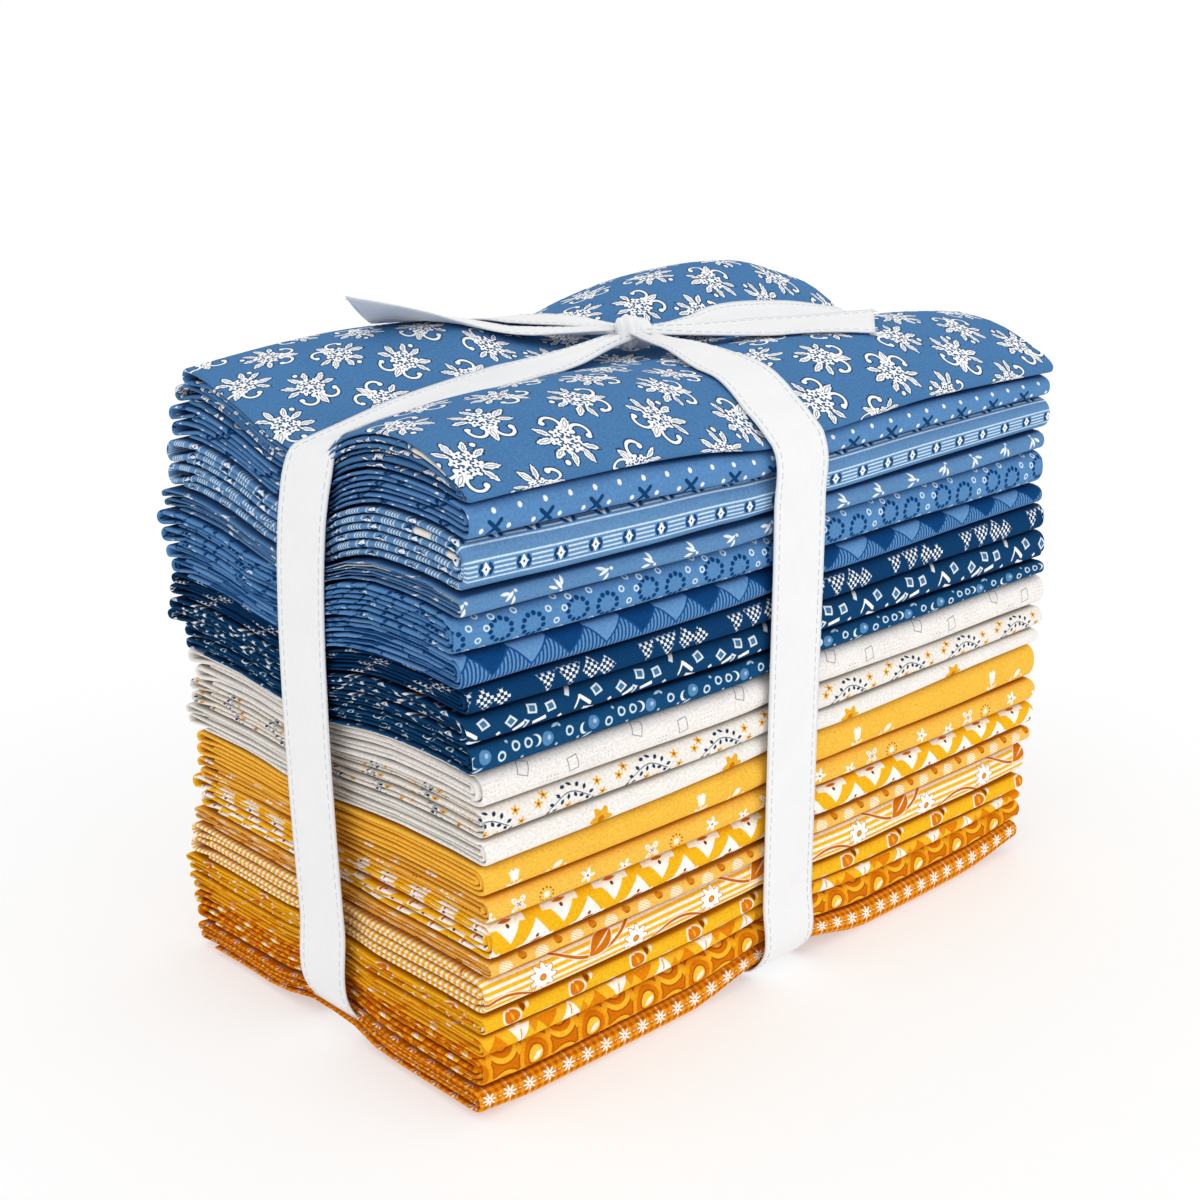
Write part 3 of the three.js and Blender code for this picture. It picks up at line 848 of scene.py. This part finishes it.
def orange_blooms(ink, u, v):
    x, y = repeat(u, v, 60, 21.85, (-92, -1.61))
    ink(petals(x, y, 6, 3.9, 0.8), "#ecb02a")
    ink(disc(x, y, 1.35), "#d5790f")
    ink(leaf(*repeat(u, v, 60, 21.85, (-132, -4.37)), 3.6, 2.4, 40), "#ecb02a")


lay_yard("yard_12_bloom", 8.9, 6.3, cotton("#f6f2ec", orange_blooms))


# ---- Yard 11, navy leaf sprays
# Cream cotton, printed with arching navy sprays of tiny leaves, and small yellow flowers
# among them.

SPRAY = [(-8.6, -3.6, 70), (-7.4, -0.8, -30), (-6.0, -3.4, 15), (-4.6, 1.4, -45), (-3.2, -1.0, 60),
         (-2.0, 3.8, 20), (-0.6, 0.2, 80), (0.8, 4.2, -35), (2.2, 0.2, -60), (3.6, 3.2, 40),
         (4.6, -0.8, -15), (6.0, 1.8, 55), (7.2, -2.6, -50), (8.6, -0.6, 20), (9.6, -4.0, 70)]


def leaf_sprays(ink, u, v):
    x, y = repeat(u, v, 33, 13.8, (-104, 0.46))
    arch = worked("COSINE", x * 0.26) * 2.4 - 0.8
    ink(most(line_along(y - arch, 0.4), abs(x) - 8.6), "#4a607e")
    ink(least(*(leaf(x - place, y - rise, 2.1, 1.25, tilt) for place, rise, tilt in SPRAY)), "#17395f")
    for place, rise in ((-12.6, 1.4), (-9.8, 3.6), (-0.6, -3.2), (4.0, -4.6), (11.4, 2.0), (13.6, -2.4)):
        ink(petals(x - place, y - rise, 5, 1.25, 0.5), "#f3b53c")
        ink(disc(x - place, y - rise, 0.55), "#b4600f")


lay_yard("yard_11_leaf", 10.0, 8.7, cotton("#f4efe8", leaf_sprays))


# ---- Yard 10, faint squares
# Cream cotton, printed with thin grey open squares and little grids of dots. The highest
# of the pale yards.

def faint_squares(ink, u, v):
    for at, tilt in (((-103, 0.69), 9), ((-122, 4.83), -24)):
        square = block(*turned(*repeat(u, v, 47, 15.52, at), tilt), 1.9, 2.5)
        ink(line_along(square, 0.3), "#7c8290")
    for at, step, radius, half_x, half_y, grey in (((-112, -2.76), 1.5, 0.26, 2.9, 2.2, "#a9a59f"),
                                                   ((-90, 0.46), 1.6, 0.22, 6.2, 3.1, "#d6cfc6")):
        x, y = repeat(u, v, 47, 15.52, at)
        dots = disc(*repeat(x, y, step, step, brick=0), radius)
        ink(most(dots, block(x, y, half_x, half_y)), grey)


lay_yard("yard_10_square", 12.0, 12.7, cotton("#f6f1ec", faint_squares))


# ---- Yard 9, discs and rings
# Navy cotton, printed with light blue discs, white rings, slivers and dots. The lowest of
# the blue yards.

def discs_and_rings(ink, u, v):
    x, y = repeat(u, v, 43, 12.19, (-113, 0.57))
    for place, rise in ((0, 0.2), (18.8, 0.6)):
        ink(disc(x - place, y - rise, 2.2), "#5a8bb8")
        ink(disc(x - place - 0.5, y - rise - 0.3, 0.7), "#a9c8e4")
    for place, rise in ((-18.0, -0.6), (-12.4, 1.2), (-7.6, 0.9), (8.8, 0.5)):
        ink(line_along(disc(x - place, y - rise, 1.25), 0.62), "#d9ecf8")
    slivers = least(most(disc(x + 4.4, y - 0.8, 1.8), 1.75 - size_of(x + 5.3, y - 0.8)),
                    most(disc(x - 14.8, y + 0.3, 1.8), 1.75 - size_of(x - 15.8, y + 0.1)))
    ink(slivers, "#eaf5fb")
    ink(least(leaf(x - 16.0, y + 2.9, 4.0, 1.0, 20), leaf(x - 4.2, y - 3.6, 3.4, 0.9, 15)), "#c5dcee")
    for place, rise in ((3.4, -2.4), (5.6, 3.2), (-15.2, 3.2), (-10.0, -2.9), (12.2, -2.6)):
        ink(disc(x - place, y - rise, 0.5), "#c5dcee")


lay_yard("yard_09_bubble", 9.6, 6.2, cotton("#154a76", discs_and_rings))


# ---- Yard 8, ticks and squares
# Navy cotton, printed with white roof-shaped ticks, bars, and open squares that are
# filled with blue.

def ticks_and_squares(ink, u, v):
    x, y = repeat(u, v, 44.7, 14.95, (-100, 0.69))
    tick = least(most(line_along(x * 0.95 + y - 1.9, 1.9), block(x - 2.2, y + 0.2, 2.4, 2.6)),
                 most(line_along(x * -2.0 + y - 1.9, 1.6), block(x + 1.0, y + 0.2, 1.3, 2.6)))
    ink(tick, "#fcfdff")
    for place, rise, tilt in ((7.4, 2.2, 20), (17.4, 0.3, 40), (-18.6, 2.6, -14), (-11.6, 1.5, 8),
                              (-22.6, -2.2, -30)):
        square = block(*turned(x - place, y - rise, tilt), 1.75, 1.75)
        ink(square, "#e9f3fb")
        ink(square + 0.65, "#47779f")
    for place, rise, tilt, *half in ((20.6, -2.6, 28, 2.6, 0.75), (-16.4, -2.5, 12, 2.6, 0.75),
                                     (3.8, -4.4, -20, 2.6, 0.75), (-3.0, 5.4, 55, 2.6, 0.75),
                                     (12.6, -3.2, 35, 0.7, 0.7), (-8.0, -3.6, 35, 0.7, 0.7)):
        ink(block(*turned(x - place, y - rise, tilt), *half), "#fcfdff")


lay_yard("yard_08_tick", 9.2, 11.9, cotton("#11416c", ticks_and_squares))


# ---- Yard 7, checked diamonds
# Navy cotton, printed with ragged clusters of tiny white checks, and dotted lines between
# them.

def checked_diamonds(ink, u, v):
    a, b, column, row = places(u, v, 1.25, 1.3, brick=0)
    check = most(block(a, b, 0.56, 0.58), fract((column + row) * 0.5) - 0.25)
    x, y = repeat(u, v, 41, 14.49, (-98, 0.34))
    ragged = least(abs(x - 2.8) / 3.7 + abs(y - 0.6) / 4.8 - 1, abs(x - 9.0) / 3.6 + abs(y + 0.3) / 4.2 - 1)
    for place, wide, tall in ((-5.6, 2.3, 4.2), (-14.6, 1.7, 3.8)):
        ragged = least(ragged, most(abs(x - place) / wide - y / tall - 1, y / tall - 1) * 0.5)
    ink(most(check, ragged * 2), "#fafdff")
    ink(most(off_middle(u, 2.2) - 0.6, line_along(y + 5.6, 0.7), abs(x + 13) - 7), "#fafdff")


lay_yard("yard_07_check", 8.5, 10.9, cotton("#0d3c68", checked_diamonds))


# ---- Yard 6, large check with barred edges
# Light and navy blocks in turn. Between them stand groups of thin light bars that end in
# steps, so that each block seems to hang in a point.

def barred_check(ink, u, v):
    large = 29.6
    zigzag = 7 - off_middle(u, large / 2) * (14 / (large / 2))
    rise = worked("PINGPONG", v + 10.3, 19.5)
    hanging = rise - zigzag - 8.9
    bars = off_middle(u, 1.5) - 0.38
    ink(off_middle(u, large) - large / 4, "#0e4278")
    ink(hanging, "#18508a")
    ink(most(hanging + 0.9, bars), "#6494c5")
    ink(most(rise - 1.8, bars), "#3f75ac")


lay_yard("yard_06_plaid", 10.8, 7.8, cotton("#6797c9", barred_check))


# ---- Yard 5, dotted wreaths
# Blue cotton, printed with wreaths of eleven navy dots, and small white rings scattered
# between them.

def dotted_wreaths(ink, u, v):
    for at in ((-130, 0.8), (-118, -0.4)):
        ink(disc(*ring_of(*repeat(u, v, 29.5, 16.56, at), 11, 3.9), 0.92), "#0d4076")
    x, y = repeat(u, v, 29.5, 16.56, (-110, 0.2))
    for place, rise in ((-13.6, 5.8), (-13.8, -5.2), (-1.6, 3.4), (1.0, -1.5), (-2.2, -5.4), (4.4, 2.2),
                        (3.6, -5.6), (7.4, 5.6), (2.4, 7.0)):
        ink(line_along(disc(x - place, y - rise, 0.92), 0.52), "#dff0fa")


lay_yard("yard_05_dot_ring", 11.3, 13.2, cotton("#598bbe", dotted_wreaths))


# ---- Yard 4, brush strokes
# Loose fans of three white brush strokes, at odd angles on a greyish blue. Its woven edge
# shows at the left end.

def brush_fans(ink, u, v):
    x, y, column, row = places(u, v, 18.4, 12.19, (-126, 0.92))
    x, y = spun(x, y, chance(column, row, 4) * 4)
    ink(least(leaf(x - 0.2, y, 5.0, 1.3, 90), leaf(x - 1.9, y - 0.3, 3.9, 1.2, 50),
              leaf(x + 2.1, y - 0.3, 3.9, 1.2, 128), disc(x + 0.3, y + 3.1, 0.6)), "#f3f8fc")


lay_yard("yard_04_chip", 6.4, 7.1, cotton("#618dbb", brush_fans),
         selvage=[(4, -81, -68), (4, -62, -54), (4, -40, -22)])


# ---- Yard 3, staves
# Bands of five thin white lines along the fold, broken by small diamonds between navy
# blocks.

def staves(ink, u, v):
    x, y = repeat(u, v, 13.7, 9.9, (-120.5, -0.5))
    near = (fract(y / 1.38 + 0.5) - 0.5) * 1.38
    ink(most(abs(near) - 0.27, abs(y) - 3.1), "#d3e9f9")
    ink(block(x, y, 2.9, 2.3), "#6591be")
    ink(most(block(abs(x) - 1.9, y, 0.9, 1.9), abs(y) * 0.6 + abs(x) - 3.0), "#154474")
    diamond = least(abs(x) * 1.4 + abs(y) * 0.9 - 1.9, abs(x) * 0.9 + abs(y) * 1.5 - 1.5)
    ink(diamond - 0.3, "#6591be")
    ink(diamond, "#fafcff")
    ink(abs(x) * 1.3 + abs(y) - 0.55, "#154474")


lay_yard("yard_03_stave", 15.8, 12.0, cotton("#6591be", staves),
         selvage=[(3, -82, -68), (4, -60, -54)], fullness=0.9, fine=True)


# ---- Yard 2, crosses and dots
# Blue cotton, printed with navy crosses that have a white dot either side, and rows of
# white dots between them.

def crosses_and_dots(ink, u, v):
    x, y = repeat(u, v, 19.6, 14.03, (-131, -1.7))
    ink(most(line_along(abs(x) * 0.85 - abs(y), 1.7), most(abs(x) * 0.85, abs(y)) - 2.45), "#12406f")
    ink(disc(abs(x) - 5.1, y + 0.3, 0.8), "#f6fafe")
    ink(disc(*repeat(u, v, 9.8, 14.03, (-131, 2.9), brick=0), 0.8), "#f6fafe")


lay_yard("yard_02_cross", 10.7, 7.5, cotton("#5c8cbf", crosses_and_dots), fine=True)


# ---- Yard 1, flower sprigs
# The top yard. Lacy white sprigs edged with a navy line: a ring of six blossoms round a
# seventh, fern leaves and two curled tendrils. They lie at all angles, about 25 mm apart.

SPRIG_NAVY = "#1f416c"


def flower_sprigs(ink, u, v):
    cloth = add(u.tree, "ShaderNodeCombineXYZ", {"X": u, "Y": v}).outputs[0]
    lace = (noise_on(cloth, 0.9, 2) - 0.5) * 1.5
    for seed, at in ((1, (0, -2)), (2, (19, 13.5))):
        x, y, column, row = places(u, v, 38, 30, at, brick=0)
        x, y = spun(x, y, chance(column, row, seed) * math.tau)
        wide = abs(x)
        arc, out = ring_of(x, y - 1.2, 6, 3.5)
        blossoms = least(petals(arc, out, 5, 1.5, 0.5), petals(x, y - 1.2, 5, 1.4, 0.4))
        fronds = least(leaf(wide - 6.4, y - 4.2, 6.4, 2.4, 38), leaf(wide - 7.2, y - 0.6, 5.6, 2.0, -8),
                       leaf(wide - 2.2, y - 7.6, 5.4, 2.2, 68), leaf(x, y + 6.4, 6.6, 2.6, 90))
        curls = least(most(line_along(disc(wide - 4.4, y + 4.6, 2.9), 1.0), y + 3.4),
                      disc(wide - 7.0, y + 3.8, 0.95), disc(wide - 2.0, y + 3.5, 0.85),
                      disc(x, y - 10.2, 0.9))
        sprig = least(blossoms + lace * 0.35, fronds + lace, curls)
        ink(sprig - 0.5, SPRIG_NAVY)
        ink(sprig, "#fdfefe", soft=0.24)
        ink(least(disc(arc, out, 0.42), line_along(fronds + 0.75, 0.22)), SPRIG_NAVY)


lay_yard(TOP_YARD, 11.3, 12.0, cotton("#4c7cad", flower_sprigs), fullness=1.25, fine=True,
         selvage=[(4, -72, -58)], setback=(5, 13))


# ---- The ribbon's two rounds
# A woven white cotton ribbon, 25 mm wide with a stitched line inside each edge. One
# length of it goes round the stack lengthways and then crossways, drawn tight, and is
# gathered where it meets the knot.

RIBBON_WIDTH, RIBBON_THICKNESS = 25, 0.5
RIBBON_STEP, RIBBON_COLUMNS = 2.6, 16
GATHERED_WIDTH, GATHER_HEIGHT, GATHER_PLEATS = 9.5, 2.1, 2.5
GATHER_START, GATHER_REACH = 5, 54
CLEARANCE = 0.6  # of the middle of the ribbon from the cloth that it lies on
BRIDGE, BRIDGE_REACH = 4.6, 30  # the knot holds the runs up off the cloth beside it
OVERLAP, OVERLAP_REACH = 1.2, 10  # and the crossways run lies over the lengthways one
STITCH_PLACE = 0.5 - 2.4 / RIBBON_WIDTH  # of the width, from the middle
STITCH_SPACING, STITCH_LENGTH, THREAD_RADIUS = 3.4, 2.1, 0.17
DENSE_EDGE, WALE_PITCH, RIB_PITCH = 0.7, 0.62, 0.42
TOP_STEP = 8.0  # between the places where a run is fitted to the cloth
TILT_SHARE = 0.85  # how far a taut run leans with the cloth under it
# Places along the run on top, and the middle of the ribbon across it
LENGTHWAYS_TOP = [(-134, -3.2), (-117, -1.4), (-94, 2.2), (-70, 4.8), (-47, 7.3), (-14, 9),
                  (14, 10), (60, 8), (100, 8), (136, 8)]
CROSSWAYS_TOP = [(-73, -3), (-55, 1), (-34, 5), (-6, 9), (10, 10), (26, 9), (42, 6), (62, 0), (74, -3)]
# x, y, z of the ribbon's inner face down one side, under and up the other
LENGTHWAYS_REST = [
    (142.6, 8, 197), (144.6, 7, 185), (145.6, 5, 114), (145.6, 4, 93.5), (143.5, 3, 55), (139.4, 0, 21),
    (138.4, 0, 12), (134, 0, 4.6), (100, -1, 4.4), (0, -2, 4.4), (-100, -3, 4.4), (-138, -3, 4.7),
    (-142.9, -2, 12), (-143.2, -0.6, 40), (-143.1, 1.9, 116), (-143, 1.2, 146), (-142.8, -0.4, 166),
    (-142.3, -2.2, 180), (-139.9, -3.2, 191.5),
]
CROSSWAYS_REST = [
    (-3, 82.4, 205), (-3, 84.2, 184), (-4, 84.6, 128), (-4, 87.3, 93.5), (-5, 89.2, 54), (-5, 89.1, 30),
    (-5, 87.6, 12.8), (-5, 83.5, 3.6), (-5, 50, 3.2), (-5, -50, 3.2), (-5, -77, 3.4), (-5, -81.6, 9),
    (-5, -81.8, 30), (-4, -81.8, 100), (-3, -81.8, 170), (-3, -81.6, 188),
]


def unit(vectors):
    return vectors / np.linalg.norm(vectors, axis=-1, keepdims=True)


def lengths_along(points):
    steps = np.linalg.norm(np.diff(points, axis=0), axis=1)
    return np.concatenate([[0], np.cumsum(steps)])


def smooth_route(rows, closed):
    """Rows of numbers led by x, y, z, drawn as one smooth curve at even steps."""
    rows = np.concatenate([rows[-2:], rows, rows[:3]]) if closed else np.array(rows, float)
    lengths = lengths_along(rows[:, :3])
    first, last = (lengths[2], lengths[-3]) if closed else (0, lengths[-1])
    at = np.linspace(first, last, max(int((last - first) / RIBBON_STEP), 8) + 1)
    values = np.stack([curve_through(lengths, column, at) for column in rows.T], axis=1)
    return values[:-1] if closed else values


def running_stitch():
    """Geometry nodes that sew a running stitch along a line of edges."""
    tree = bpy.data.node_groups.new("running_stitch", "GeometryNodeTree")
    for name, kind, way, value in (
            ("Geometry", "Geometry", "INPUT", None), ("Stitch spacing", "Float", "INPUT", STITCH_SPACING),
            ("Stitch length", "Float", "INPUT", STITCH_LENGTH),
            ("Thread radius", "Float", "INPUT", THREAD_RADIUS),
            ("Thread", "Material", "INPUT", None), ("Geometry", "Geometry", "OUTPUT", None)):
        socket = tree.interface.new_socket(name, in_out=way, socket_type="NodeSocket" + kind)
        if value:
            socket.default_value = value * MM
    given = add(tree, "NodeGroupInput").outputs
    seam = add(tree, "GeometryNodeMeshToCurve", {"Mesh": given["Geometry"]}).outputs[0]
    spots = add(tree, "GeometryNodeResampleCurve",
                {"Curve": seam, "Length": given["Stitch spacing"]}, mode="LENGTH").outputs[0]
    stitch = add(tree, "GeometryNodeMeshCylinder", {
        "Vertices": 6, "Depth": given["Stitch length"], "Radius": given["Thread radius"]}).outputs["Mesh"]
    tangent = add(tree, "GeometryNodeInputTangent").outputs[0]
    turn = add(tree, "FunctionNodeAlignRotationToVector", {"Vector": tangent}, axis="Z").outputs[0]
    sewn = add(tree, "GeometryNodeInstanceOnPoints",
               {"Points": spots, "Instance": stitch, "Rotation": turn}).outputs[0]
    real = add(tree, "GeometryNodeRealizeInstances", {"Geometry": sewn}).outputs[0]
    thread = {"Geometry": real, "Material": given["Thread"]}
    add(tree, "NodeGroupOutput", {0: add(tree, "GeometryNodeSetMaterial", thread).outputs[0]})
    return tree


def white_twill():
    """The ribbon's own cloth, a fine twill with a denser edge."""
    material, dye, cloth, u, v = new_cloth("white_twill", "#f2f2f3")
    dye.ink(RIBBON_WIDTH / 2 - DENSE_EDGE - abs(u), "#eaebed", soft=0.4)
    fibres = fibres_on(cloth, 2200, 150)
    dye.shade(worked("MULTIPLY_ADD", fibres, 0.07, noise_on(cloth, 70, 3) * 0.06 + 0.935))
    wale = worked("SINE", (u + v) * (math.tau / WALE_PITCH))
    rib = worked("SINE", v * (math.tau / RIB_PITCH))
    weave(dye, wale * 0.6 + rib * 0.3 + fibres, 0.3, 0.1,
          {"Specular IOR Level": 0.25, "Sheen Weight": 0.1, "Roughness": fibres * 0.15 + 0.6})
    return material


def grey_thread():
    material, tree, shader = new_finish("grey_thread")
    fuzz = noise_on(add(tree, "ShaderNodeTexCoord").outputs["Object"], 900, 2)
    dye = Dye(tree, "#b4c7cd")
    dye.mix(fuzz * 0.5, linear("#f2f5f5"))
    feed(shader, {"Base Color": dye.colour, "Roughness": fuzz * 0.2 + 0.6})
    return material


RIBBON_TWILL = white_twill()
SEAM_THREAD = grey_thread()
RUNNING_STITCH = running_stitch()


def sew(name, seams):
    """A running stitch along each line, as one piece that rides with the ribbon."""
    starts = np.cumsum([0] + [len(seam) for seam in seams])
    edges = [(i, i + 1) for start, stop in zip(starts, starts[1:]) for i in range(start, stop - 1)]
    mesh = bpy.data.meshes.new(name + "_line")
    mesh.from_pydata(in_frame(np.concatenate(seams)).tolist(), edges, [])
    line = into_scene(name + "_line", mesh)
    modifier = line.modifiers.new("stitches", "NODES")
    modifier.node_group = RUNNING_STITCH
    sockets = {item.name: item.identifier for item in RUNNING_STITCH.interface.items_tree
               if item.in_out == "INPUT"}
    modifier[sockets["Thread"]] = SEAM_THREAD
    evaluated = line.evaluated_get(bpy.context.evaluated_depsgraph_get())
    stitches = into_scene(name, bpy.data.meshes.new_from_object(evaluated))
    bpy.data.objects.remove(line)
    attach(stitches, "root")
    return stitches


def lay_ribbon(name, rows, across, closed=False, slant=0.0, curl=0.0):
    """One run of ribbon along stations of x, y, z, width and height of its pleats, with the
    direction across it at each. slant and curl are those of its cut ends."""
    centre, width, pleat = rows[:, :3], rows[:, 3], rows[:, 4]
    across = unit(across)
    if closed:
        run = np.roll(centre, -1, axis=0) - np.roll(centre, 1, axis=0)
    else:
        run = np.gradient(centre, axis=0)
    normal = unit(np.cross(across, run))
    on_top = ramp(normal[:, 2], 0.3, 0.8)
    along = lengths_along(centre)

    def line_at(q):
        """One thread of the ribbon, q from -0.5 at one edge to 0.5 at the other."""
        stop = along * (1 - max(slant * (0.5 - q), -slant * (0.5 + q)) / along[-1])
        place, aside, up = (np.stack([np.interp(stop, along, part[:, k]) for k in range(3)], axis=1)
                            for part in (centre, across, normal))
        wide = np.interp(stop, along, width)[:, None]
        fold = np.interp(stop, along, pleat) * (0.5 + 0.5 * math.cos(math.tau * GATHER_PLEATS * q + 0.6))
        bend = curl * (4 * q * q - 0.35) * (wide[:, 0] / RIBBON_WIDTH) ** 2
        place = place + aside * wide * q + up * (fold + bend)[:, None]
        cloth_below = pile_top(place[:, 0], place[:, 1]) + CLEARANCE
        place[:, 2] += on_top * np.maximum(cloth_below - place[:, 2], 0)
        return place, up * RIBBON_THICKNESS / 2, stop

    shares = np.linspace(-0.5, 0.5, RIBBON_COLUMNS + 1)
    lines = [line_at(q) for q in shares]
    sides = [np.stack([place + way * up for place, up, _ in lines], axis=1) for way in (1, -1)]
    v = np.stack([stop for _, _, stop in lines], axis=1)
    cloth = np.stack(np.broadcast_arrays(shares * RIBBON_WIDTH, v), axis=-1)
    numbers = np.arange(2 * v.size).reshape(2, *v.shape)
    if closed:
        numbers = np.concatenate([numbers, numbers[:, :1]], axis=1)
        cloth = np.concatenate([cloth, cloth[-1:] + (0, along[-1] - along[-2])])
    patches = [(numbers[0], cloth), (numbers[1], cloth)]
    for column in (0, -1):
        edge = cloth[:, column]
        patches.append((numbers[:, :, column].T, np.stack([edge, edge + (0.3, 0)], axis=1)))
    for row in () if closed else (0, -1):
        patches.append((numbers[:, row], np.stack([cloth[row], cloth[row] + (0, 0.3)])))
    piece = joined_mesh(name + "_cloth", np.stack(sides).reshape(-1, 3), patches)

    seams = [place + up for place, up, _ in map(line_at, (-STITCH_PLACE, STITCH_PLACE))]
    if closed:
        seams = [np.concatenate([seam, seam[:1]]) for seam in seams]
        centre = np.concatenate([centre, centre[:1]])
    stitches = sew(name + "_stitches", seams)
    stand_for(piece, name, RIBBON_TWILL)


def round_of_ribbon(name, top_rows, rest_rows, along_x):
    """One closed round: taut over the pile's top, and down, under and up along rest_rows."""
    spots, middles = np.array(top_rows, float).T
    main = np.arange(spots[0], spots[-1] + 1, TOP_STEP)
    aside = curve_through(spots, middles, main)
    x, y = (main, aside) if along_x else (aside, main)
    from_knot = main - KNOT_PLACE[0 if along_x else 1]
    opened = ramp(np.abs(from_knot), GATHER_START, GATHER_REACH)
    width = GATHERED_WIDTH + (RIBBON_WIDTH - GATHERED_WIDTH) * opened

    reach = np.linspace(-0.5, 0.5, 11) * width[:, None]
    heights = pile_top(x[:, None] + (0 if along_x else reach), y[:, None] + (reach if along_x else 0))
    slope = (heights[:, -1] - heights[:, 0]) / width * TILT_SHARE
    clear = (heights - slope[:, None] * reach).mean(axis=1)
    z = np.convolve(np.pad(clear, 1, mode="edge"), (0.25, 0.5, 0.25), mode="valid") + CLEARANCE
    z += BRIDGE * np.exp(-(from_knot / BRIDGE_REACH) ** 2)
    z += (0 if along_x else OVERLAP) * np.exp(-(from_knot / OVERLAP_REACH) ** 2)
    slope = np.convolve(np.pad(slope, 2, mode="edge"), np.ones(5) / 5, mode="valid")
    slope = slope * ramp(np.abs(from_knot), 4, 40)
    rows = np.stack([x, y, z, width, GATHER_HEIGHT * (1 - opened), slope], axis=1)
    rest = [(*spot, RIBBON_WIDTH, 0, 0) for spot in rest_rows]
    path = smooth_route(np.concatenate([rows, rest]), True)
    across = np.array([(0, -1, 0) if along_x else (1, 0, 0)] * len(path), float)
    across[:, 2] = path[:, 5] * (-1 if along_x else 1)
    lay_ribbon(name, path, across, closed=True)


round_of_ribbon("ribbon_lengthways", LENGTHWAYS_TOP, LENGTHWAYS_REST, True)
round_of_ribbon("ribbon_crossways", CROSSWAYS_TOP, CROSSWAYS_REST, False)

# ---- The ribbon's free ends
# The two ends spring from the knot. The left one rises and turns on edge to a slanting
# cut, the right one lies out over the front, cut nearly straight across.

# x, y, z of the middle, width, height of the pleats, roll in degrees
LEFT_TAIL = [
    (6, 15, 213.8, 8, 2.0, 0), (-3, 25, 213.6, 12, 1.4, 0), (-14, 37, 213.9, 19, 0.5, 0),
    (-30, 47.5, 216, 24, 0, 5), (-48, 51.5, 219.6, 25, 0, 11), (-62, 52.3, 222.7, 25, 0, 17),
    (-78, 52.7, 226, 25, 0, 22), (-92, 53.1, 228.8, 25, 0, 25),
]
RIGHT_TAIL = [
    (13, 8.5, 213.6, 8, 2.0, 0), (24, -3, 214, 13, 1.2, 3), (38, -13, 214.4, 20, 0.4, 5),
    (47, -20, 214.8, 25, 0, 5), (58, -30.5, 215.3, 25, 0, 6), (79.2, -47.7, 216.2, 25, 0, 10),
]
LEFT_SLANT, RIGHT_SLANT = -29, -5  # of the cuts, mm across the width
END_CURL = 0.5  # of the edges off the middle, mm
for name, rows, slant in (("ribbon_tail_left", LEFT_TAIL, LEFT_SLANT),
                          ("ribbon_tail_right", RIGHT_TAIL, RIGHT_SLANT)):
    path = smooth_route(rows, False)
    run = unit(np.gradient(path[:, :3], axis=0))
    level = unit(np.cross((0, 0, 1), run))
    roll = np.radians(path[:, 5])[:, None]
    across = -level * np.cos(roll) - np.cross(run, level) * np.sin(roll)
    lay_ribbon(name, path, across, slant=slant, curl=END_CURL)

# ---- The knot
# The ribbon's last turns round its own runs, pulled to a small pleated lump that lies over
# the crossing.

KNOT_MIDDLE = (10, 11, 213.8)
TAILS_RUN = unit(np.array([0.84, -0.54, 0.0]))
AROUND, ACROSS = 48, 21
# middle, direction through it, width, half of its breadth and height, pleats, how they lean
WRAPS = [
    ((-0.8, 0.3, 0.0), TAILS_RUN, 8.6, 5.0, 5.4, 2.6, 0),
    ((3.2, -1.4, -0.4), unit(TAILS_RUN + (0.1, 0.75, 0)), 7.9, 4.5, 4.3, 2.2, 2),
]
angle, q = np.meshgrid(np.linspace(0, math.tau, AROUND, endpoint=False), np.linspace(-0.5, 0.5, ACROSS),
                       indexing="ij")
cloth = np.stack(np.meshgrid(np.linspace(-12, 12, ACROSS), np.linspace(0, 36, AROUND + 1)), axis=-1)
shut = 0.12 + 0.88 * np.clip(1 - np.abs(q * 2) ** 5, 0, 1) ** 0.5
points, patches = [], []
for start, (middle, axis, width, breadth, rise, pleats, lean) in zip((0, q.size), WRAPS):
    fold = 0.5 * np.cos(math.tau * pleats * q + 0.9 * np.sin(angle + lean)) * (1 - np.abs(q * 2) ** 4)
    swell = 0.9 * (1 - (q * 2) ** 2) + fold
    parts = (q * width * (1 + 0.12 * np.sin(angle)), np.cos(angle) * (breadth + swell) * shut,
             np.sin(angle) * (rise + swell) * shut)
    ways = (axis, np.cross((0, 0, 1), axis), np.array((0, 0, 1)))
    points.append(np.add(KNOT_MIDDLE, middle) + sum(part[..., None] * way for part, way in zip(parts, ways)))
    numbers = np.arange(q.size).reshape(q.shape) + start
    patches.append((np.concatenate([numbers, numbers[:1]]), cloth))
    patches.extend((numbers[:, column], cloth[:-1, column]) for column in (0, -1))
knot = joined_mesh("ribbon_knot_wrap", np.stack(points).reshape(-1, 3), patches)
stand_for(knot, "ribbon_knot", RIBBON_TWILL)
